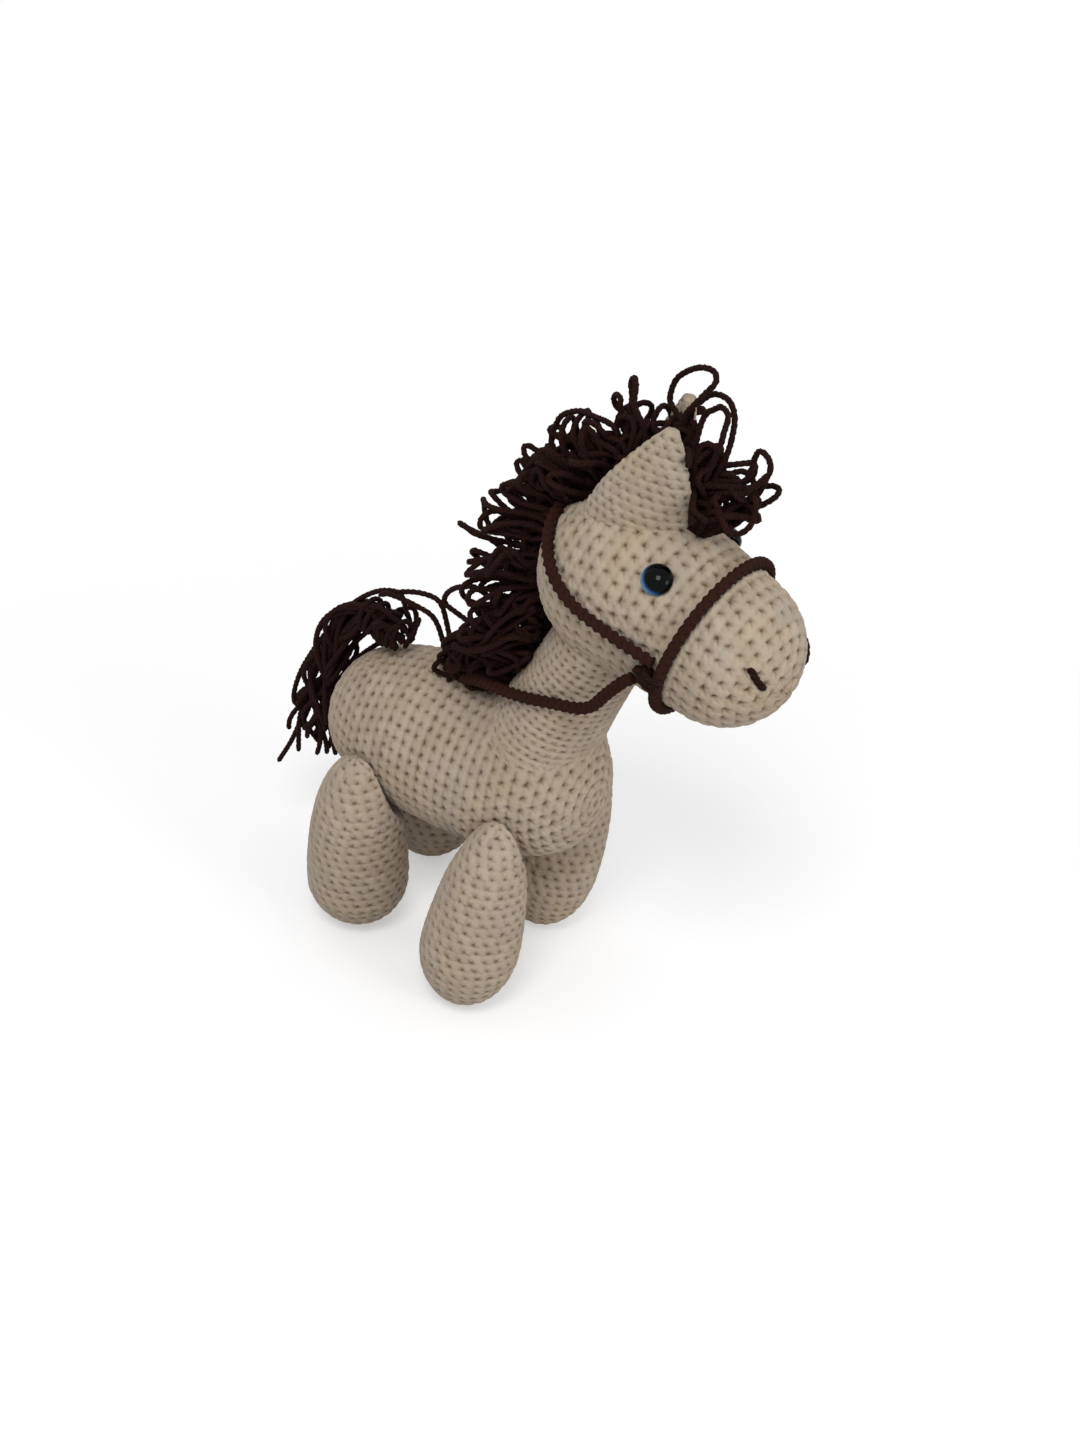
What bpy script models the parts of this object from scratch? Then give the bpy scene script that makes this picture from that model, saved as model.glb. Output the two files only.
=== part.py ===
"""A crocheted toy horse: stuffed body, neck and head, four thread-jointed legs, a mane
and a tail of looped yarn, and a chain-stitch halter with reins.

Metres, +Z up. The horse stands on the floor at z = 0 and faces -Y, so its right side is
towards -X. The origin is on the floor, under the middle of the whole horse.
"""

import math

import bmesh
import bpy
import numpy as np
from mathutils import Matrix, Vector

# Fabric, yarn and running gaps
WALL = 0.0024
SEAM_GAP = 0.0003
YARN = 0.0026
YARN_BEND_SHARE = 0.6
CHAIN = 0.0038
CUT_OVERRUN = 0.002
FLOOR_CUT_REACH = 0.1
NORMAL_STEP = 0.0001
LAST_ROUND_HOLE = 0.0016

# Body, a barrel round the long axis
BODY_RADIUS = 0.0351
BODY_HALF_LENGTH = 0.0649
BODY_MIDDLE_Y = 0.0225
BODY_MIDDLE_Z = 0.0908
BODY_FULLNESS = 2.6

# Head, a cranium ball and a muzzle ball under one skin
CRANIUM_RADIUS = 0.0346
MUZZLE_RADIUS = 0.0292
MUZZLE_REACH = 0.0464
HEAD_AHEAD = 0.0626
HEAD_ABOVE = 0.107
HEAD_NOD = math.radians(14.2)
HEAD_TURN = math.radians(5.2)

# Neck, a flared tube from the body's shoulders to the cranium
NECK_RADIUS = 0.0235
NECK_FLARE = 0.007
NECK_ROOT_AHEAD = 0.0284
NECK_ROOT_ABOVE = 0.012
NECK_LEAN = math.radians(23.0)
NECK_LENGTH = 0.080

# Legs, bulbs that taper to a sewn top
LEG_RADIUS = 0.0217
LEG_PIVOT_HEIGHT = 0.077
LEG_TOP_OVER_PIVOT = 0.0095
LEG_PRESS = 0.0045
LEG_TAPER = 1.7
LEG_ROUNDING = 0.65
LEG_TOP_SPACING = 0.8
SOLE_CUT = 0.0005
FRONT_LEG_AHEAD = 0.0315
HIND_LEG_BEHIND = 0.0375
FRONT_SWING = (math.radians(-10.0), math.radians(45.0))
HIND_SWING = (math.radians(-45.0), math.radians(10.0))
FEET_SHARES = {
    "leg_front_right": (-1.054, -0.467),
    "leg_front_left": (0.752, -0.456),
    "leg_hind_right": (-0.672, 0.556),
    "leg_hind_left": (0.977, 0.593),
}
LEG_THREAD_RADIUS = 0.0009
LEG_KNOT_RADIUS = 0.0022

# Ears
EAR_WIDTH = 0.036
EAR_THICKNESS = 0.0115
EAR_HEIGHT = 0.035
EAR_TIP_WIDTH = 0.006
EAR_CUP = 0.005
EAR_TAPER = 1.5
EAR_SIDE = 0.0125
EAR_ALONG = -0.0015
RIGHT_EAR_LEAN_BACK = math.radians(0.0)
LEFT_EAR_LEAN_BACK = math.radians(11.0)
EAR_TURN = math.radians(50.0)
EAR_SINK = 0.014

# Safety eyes with their lock washers
EYE_RADIUS = 0.006
EYE_HEIGHT = 0.0042
EYE_ALONG = 0.0203
EYE_ANGLE = math.radians(45.7)
EYE_STEM_RADIUS = 0.0016
EYE_STEM_LENGTH = 0.0085
WASHER_RADIUS = 0.0055
WASHER_THICKNESS = 0.0014

# Nostril stitches
NOSTRIL_ALONG = 0.0645
NOSTRIL_LENGTH_ALONG = 0.0065
NOSTRIL_ANGLE = math.radians(36.0)
NOSTRIL_SLANT = math.radians(-13.0)
NOSTRIL_RADIUS = 0.0011

# Halter
NOSEBAND_ALONG = 0.0398
STRAP_BACK_RISE = 0.0155
STRAP_RISE_POWER = 3.0
STRAP_END_ANGLE = math.radians(3.0)
BRIDLE_KNOT_RADIUS = 0.0044
BRIDLE_KNOT_BACK = 0.0062
BRIDLE_KNOT_LIFT_SHARE = 0.5

# Mane
CROWN_ALONG = (-0.0085, -0.0270)
CROWN_LOOPS = 5
CROWN_HEIGHT = 0.036
CROWN_WIDTH = 0.0105
CROWN_LEAN = 0.010
CROWN_TILT = (math.radians(90.0), math.radians(60.0))
FORELOCK_ALONG = (0.0270, 0.0130)
FORELOCK_LOOPS = 4
FORELOCK_HEIGHT = 0.045
FORELOCK_WIDTH = 0.011
FORELOCK_LEAN = 0.009
FORELOCK_TILT = (math.radians(112.0), math.radians(95.0))
NAPE_LOOPS = 8
NAPE_HEIGHT = 0.036
NAPE_TILT = (math.radians(50.0), math.radians(22.0))
WITHERS_LOOPS = 7
WITHERS_HEIGHT = 0.028
WITHERS_TILT = (math.radians(22.0), math.radians(48.0))
NECK_LOOP_WIDTH = 0.013
NECK_LOOP_LEAN = 0.021
LOOP_HEIGHT_STEP_SHARE = 0.14
MANE_TOP_ANGLE = math.radians(33.0)
WITHERS_BEHIND_NECK = 0.014
LOOP_POINTS = 10
NAPE_SHARES = (0.66, 0.45, 0.36)
NAPE_YARN_SHARE = 0.5
WITHERS_NECK_SHARE = 0.3
CREST_POINTS = 41

# Tail
TAIL_ROOT_BEHIND = 0.0445
TAIL_REACH = 0.036
TAIL_DROP = 0.068
TAIL_ROOT_RADIUS = 0.0062
TAIL_END_RADIUS = 0.0100
TAIL_LOOPS = 5
TAIL_PASS_POINTS = 8
TAIL_STEPS = 100
TAIL_TIE_ALONG_SHARE = 0.13

# How finely round pieces are faceted
RING = 22
STUFFING_RING = 11
LEG_RING = 16
COARSE_RING = 8
PROFILE_STEPS = 14
LEG_STEPS = 12
REIN_POINTS = 44
BAND_POINTS = 26
STRAP_POINTS = 26

# The right half of the rein, from the bridle knot to the back; the left half mirrors it
REIN_RIGHT = (
    (-0.0351, -0.0644, 0.1796),
    (-0.0346, -0.0600, 0.1755),
    (-0.0322, -0.0523, 0.1652),
    (-0.0303, -0.0470, 0.1575),
    (-0.0290, -0.0410, 0.1530),
    (-0.0280, -0.0335, 0.1505),
    (-0.0272, -0.0270, 0.1486),
    (-0.0264, -0.0185, 0.1462),
    (-0.0247, -0.0100, 0.1438),
    (-0.0217, -0.0015, 0.1412),
    (-0.0165, 0.0090, 0.1372),
    (-0.0115, 0.0210, 0.1320),
    (-0.0058, 0.0320, 0.1288),
    (0.0, 0.0365, 0.1282),
)

# The tail's middle line from its root, as shares of its reach behind and of its drop
TAIL_LINE_SHARES = (
    (0.0, 0.0),
    (0.26, 0.07),
    (0.60, 0.07),
    (0.86, -0.09),
    (0.97, -0.40),
    (1.0, -1.0),
)

FULL_TURN = 2.0 * math.pi
X_AXIS = Vector((1.0, 0.0, 0.0))
Y_AXIS = Vector((0.0, 1.0, 0.0))
Z_AXIS = Vector((0.0, 0.0, 1.0))
BODY_MIDDLE = Vector((0.0, BODY_MIDDLE_Y, BODY_MIDDLE_Z))
CRANIUM = BODY_MIDDLE - Y_AXIS * HEAD_AHEAD + Z_AXIS * HEAD_ABOVE
HEAD_FORWARD = Vector(
    (
        -math.sin(HEAD_TURN) * math.cos(HEAD_NOD),
        -math.cos(HEAD_TURN) * math.cos(HEAD_NOD),
        -math.sin(HEAD_NOD),
    )
)
HEAD_SIDE = Vector((math.cos(HEAD_TURN), -math.sin(HEAD_TURN), 0.0))
HEAD_UP = HEAD_FORWARD.cross(HEAD_SIDE)
NECK_ROOT = BODY_MIDDLE - Y_AXIS * NECK_ROOT_AHEAD + Z_AXIS * NECK_ROOT_ABOVE
NECK_AXIS = Vector((0.0, -math.sin(NECK_LEAN), math.cos(NECK_LEAN)))
NECK_BACK = Vector((0.0, math.cos(NECK_LEAN), math.sin(NECK_LEAN)))
FOOT_BALL_HEIGHT = LEG_RADIUS - SOLE_CUT
YARN_LIFT = YARN * YARN_BEND_SHARE + SEAM_GAP
CHAIN_LIFT = CHAIN / 2 + SEAM_GAP


# Scene, collections and materials

for old in list(bpy.data.objects):
    bpy.data.objects.remove(old, do_unlink=True)

parts = bpy.data.collections.new("crochet_horse")
cutters = bpy.data.collections.new("cutters")
bpy.context.scene.collection.children.link(parts)
bpy.context.scene.collection.children.link(cutters)


def linear(channel):
    """One sRGB channel as the linear value that a shader takes."""
    return channel / 12.92 if channel <= 0.04045 else ((channel + 0.055) / 1.055) ** 2.4


def material(name, srgb_hex, roughness, metallic=0.0):
    """A plain Principled material of the part's colour."""
    channels = [int(srgb_hex[i : i + 2], 16) / 255 for i in (0, 2, 4)]
    made = bpy.data.materials.new(name)
    made.use_nodes = True
    shader = made.node_tree.nodes["Principled BSDF"]
    shader.inputs["Base Color"].default_value = (*map(linear, channels), 1.0)
    shader.inputs["Roughness"].default_value = roughness
    shader.inputs["Metallic"].default_value = metallic
    return made


CREAM_YARN = material("cream_cotton_yarn", "CDB79B", 0.9)
BROWN_YARN = material("dark_brown_yarn", "2E1813", 0.9)
FILLING = material("white_polyester_filling", "F1EFEA", 1.0)
EYE_PLASTIC = material("black_eye_plastic", "0B1118", 0.1)
WASHER_PLASTIC = material("white_washer_plastic", "E6E6E2", 0.4)
SEWING_THREAD = material("waxed_sewing_thread", "D8CDB8", 0.7)


# Small geometry helpers


def frame(origin, axis, across):
    """A matrix whose Z runs along axis and whose X is across, made square to it."""
    z = axis.normalized()
    x = (across - z * across.dot(z)).normalized()
    y = z.cross(x)
    return Matrix.Translation(origin) @ Matrix((x, y, z)).transposed().to_4x4()


def keep(obj, mat, parent=None):
    """Put a finished piece in the horse's collection, with its material and its pivot."""
    parts.objects.link(obj)
    if mat is not None:
        obj.data.materials.append(mat)
    if parent is not None:
        place = obj.matrix_world.copy()
        obj.parent = parent
        bpy.context.view_layer.update()
        obj.matrix_world = place
    return obj


def as_cutter(obj):
    """Put a helper solid among the cutters."""
    cutters.objects.link(obj)
    obj.hide_render = True
    obj.display_type = "WIRE"
    return obj


def cut(obj, *tools):
    """Take each tool's solid out of obj."""
    for tool in tools:
        step = obj.modifiers.new(f"cut_{tool.name}", "BOOLEAN")
        step.operation = "DIFFERENCE"
        step.object = tool
    return obj


def turned(name, outline, place, ring=RING, wall=0.0):
    """Turn an outline of (radius, height) pairs, listed from the top down, about Z."""
    mesh = bpy.data.meshes.new(name)
    points = [(radius, 0.0, height) for radius, height in outline]
    mesh.from_pydata(points, [(i, i + 1) for i in range(len(points) - 1)], [])
    obj = bpy.data.objects.new(name, mesh)
    obj.matrix_world = place
    screw = obj.modifiers.new("turn", "SCREW")
    screw.steps = screw.render_steps = ring
    screw.use_merge_vertices = True
    screw.merge_threshold = 1e-5
    screw.use_smooth_shade = True
    if wall:
        shell = obj.modifiers.new("wall", "SOLIDIFY")
        shell.thickness = wall
        shell.offset = -1.0
        shell.use_even_offset = True
    return obj


def box(name, low, high):
    """An upright box between two corners."""
    mesh = bpy.data.meshes.new(name)
    bm = bmesh.new()
    bmesh.ops.create_cube(bm, size=1.0)
    size = Vector(high) - Vector(low)
    bmesh.ops.scale(bm, vec=size, verts=bm.verts)
    bm.to_mesh(mesh)
    bm.free()
    obj = bpy.data.objects.new(name, mesh)
    obj.matrix_world = Matrix.Translation((Vector(low) + Vector(high)) / 2)
    return obj


def tube(name, points, radius, closed=False, resolution=2):
    """A yarn or cord as a bevelled poly curve through the points."""
    curve = bpy.data.curves.new(name, "CURVE")
    curve.dimensions = "3D"
    curve.bevel_depth = radius
    curve.bevel_resolution = resolution
    curve.use_fill_caps = not closed
    spline = curve.splines.new("POLY")
    spline.points.add(len(points) - 1)
    spline.points.foreach_set("co", np.c_[points, np.ones(len(points))].ravel())
    spline.use_cyclic_u = closed
    return bpy.data.objects.new(name, curve)


def smooth_line(controls, count):
    """Evenly spaced points on the Catmull-Rom curve through the controls."""
    p = np.asarray(controls, float)
    p = np.vstack([2 * p[0] - p[1], p, 2 * p[-1] - p[-2]])
    fine = []
    for i in range(1, len(p) - 2):
        t = np.linspace(0, 1, 24, endpoint=False)[:, None]
        a, b, c, d = p[i - 1 : i + 3]
        fine.append(
            0.5 * (2 * b + (c - a) * t + (2 * a - 5 * b + 4 * c - d) * t**2)
            + 0.5 * (3 * b - a - 3 * c + d) * t**3
        )
    fine = np.vstack([*fine, p[-2]])
    run = np.r_[0, np.cumsum(np.linalg.norm(np.diff(fine, axis=0), axis=1))]
    at = np.linspace(0, run[-1], count)
    return np.column_stack([np.interp(at, run, fine[:, k]) for k in range(3)])


def least_self_gap(points, radius, skipped_length):
    """The least clear distance between stretches of one tube that aren't neighbours."""
    dense = smooth_line(points, 6 * len(points))
    run = np.r_[0, np.cumsum(np.linalg.norm(np.diff(dense, axis=0), axis=1))]
    apart = np.linalg.norm(dense[:, None] - dense[None], axis=2)
    apart[np.abs(run[:, None] - run[None]) < skipped_length] = np.inf
    return apart.min() - 2 * radius


# Forms of the soft pieces, as formulas that everything that seats on them shares


def body_radius(y):
    """The barrel's radius at y, a rounded superellipse that swells in the middle."""
    share = min(abs(y - BODY_MIDDLE_Y) / BODY_HALF_LENGTH, 1.0)
    return BODY_RADIUS * (1 - share**BODY_FULLNESS) ** (1 / BODY_FULLNESS)


def body_half_width(y, z):
    """Half the barrel's width at a place seen from the side, or zero outside it."""
    rest = body_radius(y) ** 2 - (z - BODY_MIDDLE_Z) ** 2
    return math.sqrt(max(rest, 0.0))


def body_outline(grow, hole, steps):
    """Half outline of the barrel, from the hole at the rump to the chest's pole."""
    start = (hole / BODY_RADIUS) ** (BODY_FULLNESS / 2) if hole else 0.0
    outline = []
    for angle in np.linspace(start, math.pi, steps):
        across = max(math.sin(angle), 0.0) ** (2 / BODY_FULLNESS)
        along = math.copysign(abs(math.cos(angle)) ** (2 / BODY_FULLNESS), math.cos(angle))
        outline.append(((BODY_RADIUS + grow) * across, (BODY_HALF_LENGTH + grow) * along))
    return outline


def head_radius(along, grow=0.0):
    """The head's radius at a distance along it from the cranium's middle."""
    back, front = CRANIUM_RADIUS + grow, MUZZLE_RADIUS + grow
    slope = (CRANIUM_RADIUS - MUZZLE_RADIUS) / MUZZLE_REACH
    if along <= back * slope:
        return math.sqrt(max(back**2 - along**2, 0.0))
    if along <= MUZZLE_REACH + front * slope:
        return (back - along * slope) / math.sqrt(1 - slope**2)
    return math.sqrt(max(front**2 - (along - MUZZLE_REACH) ** 2, 0.0))


def head_outline(grow, hole, steps):
    """Half outline of the two balls' hull, from the hole behind to the nose's pole."""
    back, front = CRANIUM_RADIUS + grow, MUZZLE_RADIUS + grow
    meet = math.acos(-(CRANIUM_RADIUS - MUZZLE_RADIUS) / MUZZLE_REACH)
    start = math.asin(hole / back) if hole else 0.0
    half = steps // 2
    outline = [(back * math.sin(a), back * math.cos(a)) for a in np.linspace(start, meet, half)]
    for a in np.linspace(meet, math.pi, steps - half):
        outline.append((front * math.sin(a), front * math.cos(a) - MUZZLE_REACH))
    return outline


def head_place(side, up, along):
    """A place in the head's own directions, from the cranium's middle."""
    return CRANIUM + HEAD_SIDE * side + HEAD_UP * up + HEAD_FORWARD * along


def head_surface(along, angle, lift=0.0):
    """A place on the head; angle 0 is its right side and a quarter turn its top."""
    radius = head_radius(along, lift)
    return head_place(-radius * math.cos(angle), radius * math.sin(angle), along)


def head_normal(along, angle):
    """The outward direction at a place on the head."""
    turn = NORMAL_STEP / CRANIUM_RADIUS
    ahead = head_surface(along + NORMAL_STEP, angle) - head_surface(along - NORMAL_STEP, angle)
    round_it = head_surface(along, angle + turn) - head_surface(along, angle - turn)
    return ahead.cross(round_it).normalized()


def neck_radius(height):
    """The neck flares towards the body."""
    share = min(max(height / NECK_LENGTH, 0.0), 1.0)
    return NECK_RADIUS + NECK_FLARE * (1 - share) ** 2


def neck_outline(grow, steps):
    """Side outline of the neck tube, from the head down into the body."""
    heights = np.linspace(NECK_LENGTH, 0.0, steps)
    return [(neck_radius(h) + grow, h) for h in heights]


def closed_ends(outline):
    """Add the axis points that close a turned outline's two ends."""
    return [(0.0, outline[0][1]), *outline, (0.0, outline[-1][1])]


def leg_radius(height, tip):
    """A leg's radius above its foot ball's middle: a ball below, a taper above."""
    if height <= 0:
        return math.sqrt(max(LEG_RADIUS**2 - height**2, 0.0))
    share = min(height / tip, 1.0)
    return LEG_RADIUS * (1 - share**LEG_TAPER) ** LEG_ROUNDING


def leg_height(radius, tip):
    """The height above the foot ball's middle where the taper has a radius."""
    return tip * (1 - (radius / LEG_RADIUS) ** (1 / LEG_ROUNDING)) ** (1 / LEG_TAPER)


def leg_outline(tip, wall, top_radius, steps):
    """Half outline of a leg or of its hollow, a wall further in, from the top down.

    It starts where its own radius is the top radius, and ends at the ball's pole.
    """
    half = steps // 2
    top = leg_height(wall + top_radius, tip)
    outline = []
    for share in np.linspace(0.0, 1.0, steps - half):
        height = top * math.cos(share * math.pi / 2) ** LEG_TOP_SPACING
        outline.append((leg_radius(height, tip) - wall, height))
    ball = LEG_RADIUS - wall
    for angle in np.linspace(math.pi / 2, math.pi, half)[1:]:
        outline.append((ball * math.sin(angle), ball * math.cos(angle)))
    return outline


# Body, neck and head

BODY_PLACE = frame(BODY_MIDDLE, Y_AXIS, X_AXIS)
HEAD_PLACE = frame(CRANIUM, -HEAD_FORWARD, HEAD_SIDE)
NECK_PLACE = frame(NECK_ROOT, NECK_AXIS, X_AXIS)

body_skin = turned("body_skin", body_outline(0.0, LAST_ROUND_HOLE, PROFILE_STEPS), BODY_PLACE, wall=WALL)
body_stuffing = turned(
    "body_stuffing", body_outline(-WALL - SEAM_GAP, 0.0, PROFILE_STEPS // 2), BODY_PLACE, STUFFING_RING
)
keep(body_skin, CREAM_YARN)
keep(body_stuffing, FILLING)

head_skin = turned("head_skin", head_outline(0.0, LAST_ROUND_HOLE, PROFILE_STEPS), HEAD_PLACE, wall=WALL)
head_stuffing = turned(
    "head_stuffing", head_outline(-WALL - SEAM_GAP, 0.0, PROFILE_STEPS // 2), HEAD_PLACE, STUFFING_RING
)
keep(head_skin, CREAM_YARN)
keep(head_stuffing, FILLING)

body_seat = as_cutter(
    turned("body_seat", body_outline(SEAM_GAP, 0.0, PROFILE_STEPS), BODY_PLACE)
)
head_seat = as_cutter(
    turned("head_seat", head_outline(SEAM_GAP, 0.0, PROFILE_STEPS), HEAD_PLACE)
)
neck_skin = turned("neck_skin", neck_outline(0.0, PROFILE_STEPS // 2), NECK_PLACE, wall=WALL)
neck_stuffing = turned(
    "neck_stuffing",
    closed_ends(neck_outline(-WALL - SEAM_GAP, PROFILE_STEPS // 2)),
    NECK_PLACE,
    STUFFING_RING,
)
keep(cut(neck_skin, body_seat, head_seat), CREAM_YARN)
keep(cut(neck_stuffing, body_seat, head_seat), FILLING)


# Ears, flattened cones that are cupped forwards and sewn to the head


def ear(name, side, lean_back):
    """A cupped leaf lofted from flattened rings, its foot cut to the head's form."""
    foot = head_place(side * EAR_SIDE, 0.0, EAR_ALONG)
    rise = math.sqrt(head_radius(EAR_ALONG) ** 2 - EAR_SIDE**2) - EAR_SINK
    foot = foot + HEAD_UP * rise
    along = HEAD_FORWARD * math.sin(EAR_TURN) - HEAD_SIDE * side * math.cos(EAR_TURN)
    lean = HEAD_UP * math.cos(lean_back) - HEAD_FORWARD * math.sin(lean_back)
    face = along.cross(lean).normalized() * side
    mesh = bpy.data.meshes.new(name)
    bm = bmesh.new()
    rings = []
    for share in np.linspace(0.0, 1.0, 8):
        width = EAR_TIP_WIDTH + (EAR_WIDTH - EAR_TIP_WIDTH) * (1 - share**EAR_TAPER)
        thick = EAR_TIP_WIDTH + (EAR_THICKNESS - EAR_TIP_WIDTH) * (1 - share)
        ring = []
        for angle in np.linspace(0.0, FULL_TURN, 14, endpoint=False):
            across = width / 2 * math.cos(angle)
            cup = EAR_CUP * (1 - share) * (2 * across / EAR_WIDTH) ** 2
            out = thick / 2 * math.sin(angle) + cup
            up = (EAR_HEIGHT + EAR_SINK) * share
            ring.append(bm.verts.new(foot + along * across + face * out + lean * up))
        rings.append(ring)
    for low, high in zip(rings, rings[1:]):
        for i in range(len(low)):
            bm.faces.new((low[i - 1], low[i], high[i], high[i - 1]))
    bm.faces.new(rings[0])
    bm.faces.new(rings[-1])
    bmesh.ops.recalc_face_normals(bm, faces=bm.faces)
    bm.to_mesh(mesh)
    bm.free()
    return keep(cut(bpy.data.objects.new(name, mesh), head_seat), CREAM_YARN)


ear("ear_right", -1.0, RIGHT_EAR_LEAN_BACK)
ear("ear_left", 1.0, LEFT_EAR_LEAN_BACK)


# Safety eyes: a dome on a stem through the skin, locked by a washer inside


def dip(radius, ball):
    """How far a ball's surface falls away at a radius from the point of contact."""
    return ball - math.sqrt(ball**2 - radius**2)


def eye(name, angle):
    """The dome, its stem, the stem's hole and the washer's pocket in the filling."""
    place = frame(head_surface(EYE_ALONG, angle), head_normal(EYE_ALONG, angle), HEAD_UP)
    dome = [
        (EYE_RADIUS * math.sin(a), SEAM_GAP + EYE_HEIGHT * math.cos(a))
        for a in np.linspace(0.0, math.pi / 2, 6)
    ]
    stem = [(EYE_STEM_RADIUS, SEAM_GAP), (EYE_STEM_RADIUS, -EYE_STEM_LENGTH), (0.0, -EYE_STEM_LENGTH)]
    keep(turned(name, dome + stem, place, ring=16), EYE_PLASTIC)
    bore_radius = EYE_STEM_RADIUS + SEAM_GAP
    bore = [(bore_radius, CUT_OVERRUN), (bore_radius, -EYE_STEM_LENGTH)]
    cut(head_skin, as_cutter(turned(f"{name}_bore", closed_ends(bore), place, COARSE_RING)))
    top = -WALL - SEAM_GAP - dip(WASHER_RADIUS, MUZZLE_RADIUS - WALL)
    low = top - WASHER_THICKNESS
    washer = [
        (bore_radius, top),
        (WASHER_RADIUS, top),
        (WASHER_RADIUS, low),
        (bore_radius, low),
        (bore_radius, top),
    ]
    keep(turned(f"{name}_washer", washer, place, ring=16), WASHER_PLASTIC)
    pocket_radius = WASHER_RADIUS + SEAM_GAP
    pocket = [(pocket_radius, CUT_OVERRUN), (pocket_radius, -EYE_STEM_LENGTH - SEAM_GAP)]
    cut(head_stuffing, as_cutter(turned(f"{name}_pocket", closed_ends(pocket), place, COARSE_RING * 2)))


eye("eye_right", EYE_ANGLE)
eye("eye_left", math.pi - EYE_ANGLE)


# Nostril stitches


def nostril(name, side):
    """One short dark stitch that lies on the muzzle."""
    points = []
    for share in np.linspace(-0.5, 0.5, 6):
        along = NOSTRIL_ALONG + NOSTRIL_LENGTH_ALONG * (share + 0.5)
        angle = NOSTRIL_ANGLE + NOSTRIL_SLANT * (share + 0.5)
        angle = angle if side < 0 else math.pi - angle
        points.append(head_surface(along, angle, NOSTRIL_RADIUS + SEAM_GAP))
    return keep(tube(name, points, NOSTRIL_RADIUS), BROWN_YARN)


nostril("nostril_right", -1.0)
nostril("nostril_left", 1.0)


# Halter: noseband, headstall and the two knots


def noseband_point(angle):
    """The noseband lies square to the muzzle."""
    return head_surface(NOSEBAND_ALONG, angle, CHAIN_LIFT)


band = [noseband_point(a) for a in np.linspace(0.0, FULL_TURN, BAND_POINTS, endpoint=False)]
keep(tube("noseband", band, CHAIN / 2, closed=True), BROWN_YARN)


def strap_point(turn):
    """A place on the headstall: turn 0 is behind the head, one quarter turn a cheek end.

    It runs back along the cheek at eye level and climbs behind the head by a power of
    the share of its way, and it lies on the head's form at each place.
    """
    back_along = -math.sqrt((CRANIUM_RADIUS + CHAIN_LIFT) ** 2 - STRAP_BACK_RISE**2)
    front_along = NOSEBAND_ALONG - CHAIN - SEAM_GAP
    share = math.cos(turn)
    along = front_along + (back_along - front_along) * share
    rise = STRAP_BACK_RISE * share**STRAP_RISE_POWER
    across = math.sqrt(max(head_radius(along, CHAIN_LIFT) ** 2 - rise**2, 0.0))
    return head_place(math.copysign(across, turn), rise, along)


strap_turns = np.linspace(-math.pi / 2, math.pi / 2, STRAP_POINTS * 8)
strap_fine = [strap_point(turn) for turn in strap_turns]
headstall_line = smooth_line(strap_fine, STRAP_POINTS)
keep(tube("headstall", headstall_line, CHAIN / 2), BROWN_YARN)


def bridle_knot(name, mirror):
    """A yarn knot under the cheek strap's end, where the rein is tied on."""
    along = NOSEBAND_ALONG - BRIDLE_KNOT_BACK
    angle = -(CHAIN / 2 + SEAM_GAP + BRIDLE_KNOT_RADIUS) / head_radius(along)
    angle = angle if mirror < 0 else math.pi - angle
    middle = head_surface(along, angle, BRIDLE_KNOT_RADIUS * BRIDLE_KNOT_LIFT_SHARE)
    ball = [
        (BRIDLE_KNOT_RADIUS * math.sin(a), BRIDLE_KNOT_RADIUS * math.cos(a))
        for a in np.linspace(0.0, math.pi, 7)
    ]
    knot = turned(name, ball, frame(middle, HEAD_UP, HEAD_FORWARD), ring=10)
    return keep(cut(knot, head_seat), BROWN_YARN)


bridle_knot("bridle_knot_right", -1.0)
bridle_knot("bridle_knot_left", 1.0)

rein_left = [(-x, y, z) for x, y, z in reversed(REIN_RIGHT[:-1])]
rein_line = smooth_line([*REIN_RIGHT, *rein_left], REIN_POINTS)
keep(tube("rein", rein_line, CHAIN / 2, resolution=2), BROWN_YARN)


# Mane: each stretch is one yarn that leaves the crest in loops and comes back to it


def reach(share):
    """How far out a loop is at a share of its way round: 0, then 1, then 0."""
    return (1 - math.cos(FULL_TURN * share)) / 2


def looped_yarn(name, line, loops, height, width, lean, tilt):
    """A yarn that leaves the crest in standing loops, each in its own slice.

    A loop rises by a raised cosine and is a sine wide, and it leans to the right and
    left in turn by the square of how high it is. The slices stand at the tilt's angles
    above the level line to the rear, turning evenly from one to the other, so that they
    never cross.
    """
    count = loops * LOOP_POINTS + 1
    points = smooth_line(line, count)
    path = []
    for i in range(count):
        angle = tilt[0] + (tilt[1] - tilt[0]) * i / (count - 1)
        outward = np.array((0.0, math.cos(angle), math.sin(angle)))
        number, step = divmod(i, LOOP_POINTS)
        side = 1.0 if number % 2 else -1.0
        out = height * reach(step / LOOP_POINTS) * (1 - LOOP_HEIGHT_STEP_SHARE * (number % 3))
        rise = (out / height) ** 2
        across = width / 2 * math.sin(FULL_TURN * step / LOOP_POINTS) + side * lean * rise
        path.append(points[i] + outward * out + np.array(X_AXIS) * across)
    gap = least_self_gap(path, YARN / 2, 3 * YARN)
    print(f"{name}: least gap to itself {gap * 1000:.2f} mm")
    return keep(tube(name, path, YARN / 2, resolution=1), BROWN_YARN)


def head_top_line(ends):
    """The crest between two places along the top of the head."""
    quarter = math.pi / 2
    return [head_surface(along, quarter, YARN_LIFT) for along in np.linspace(*ends, 5)]


def behind_head(angle):
    """The crest behind the cranium at an angle above the level of its middle."""
    out = Y_AXIS * math.cos(angle) + Z_AXIS * math.sin(angle)
    return CRANIUM + out * (CRANIUM_RADIUS + YARN_LIFT)


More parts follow.
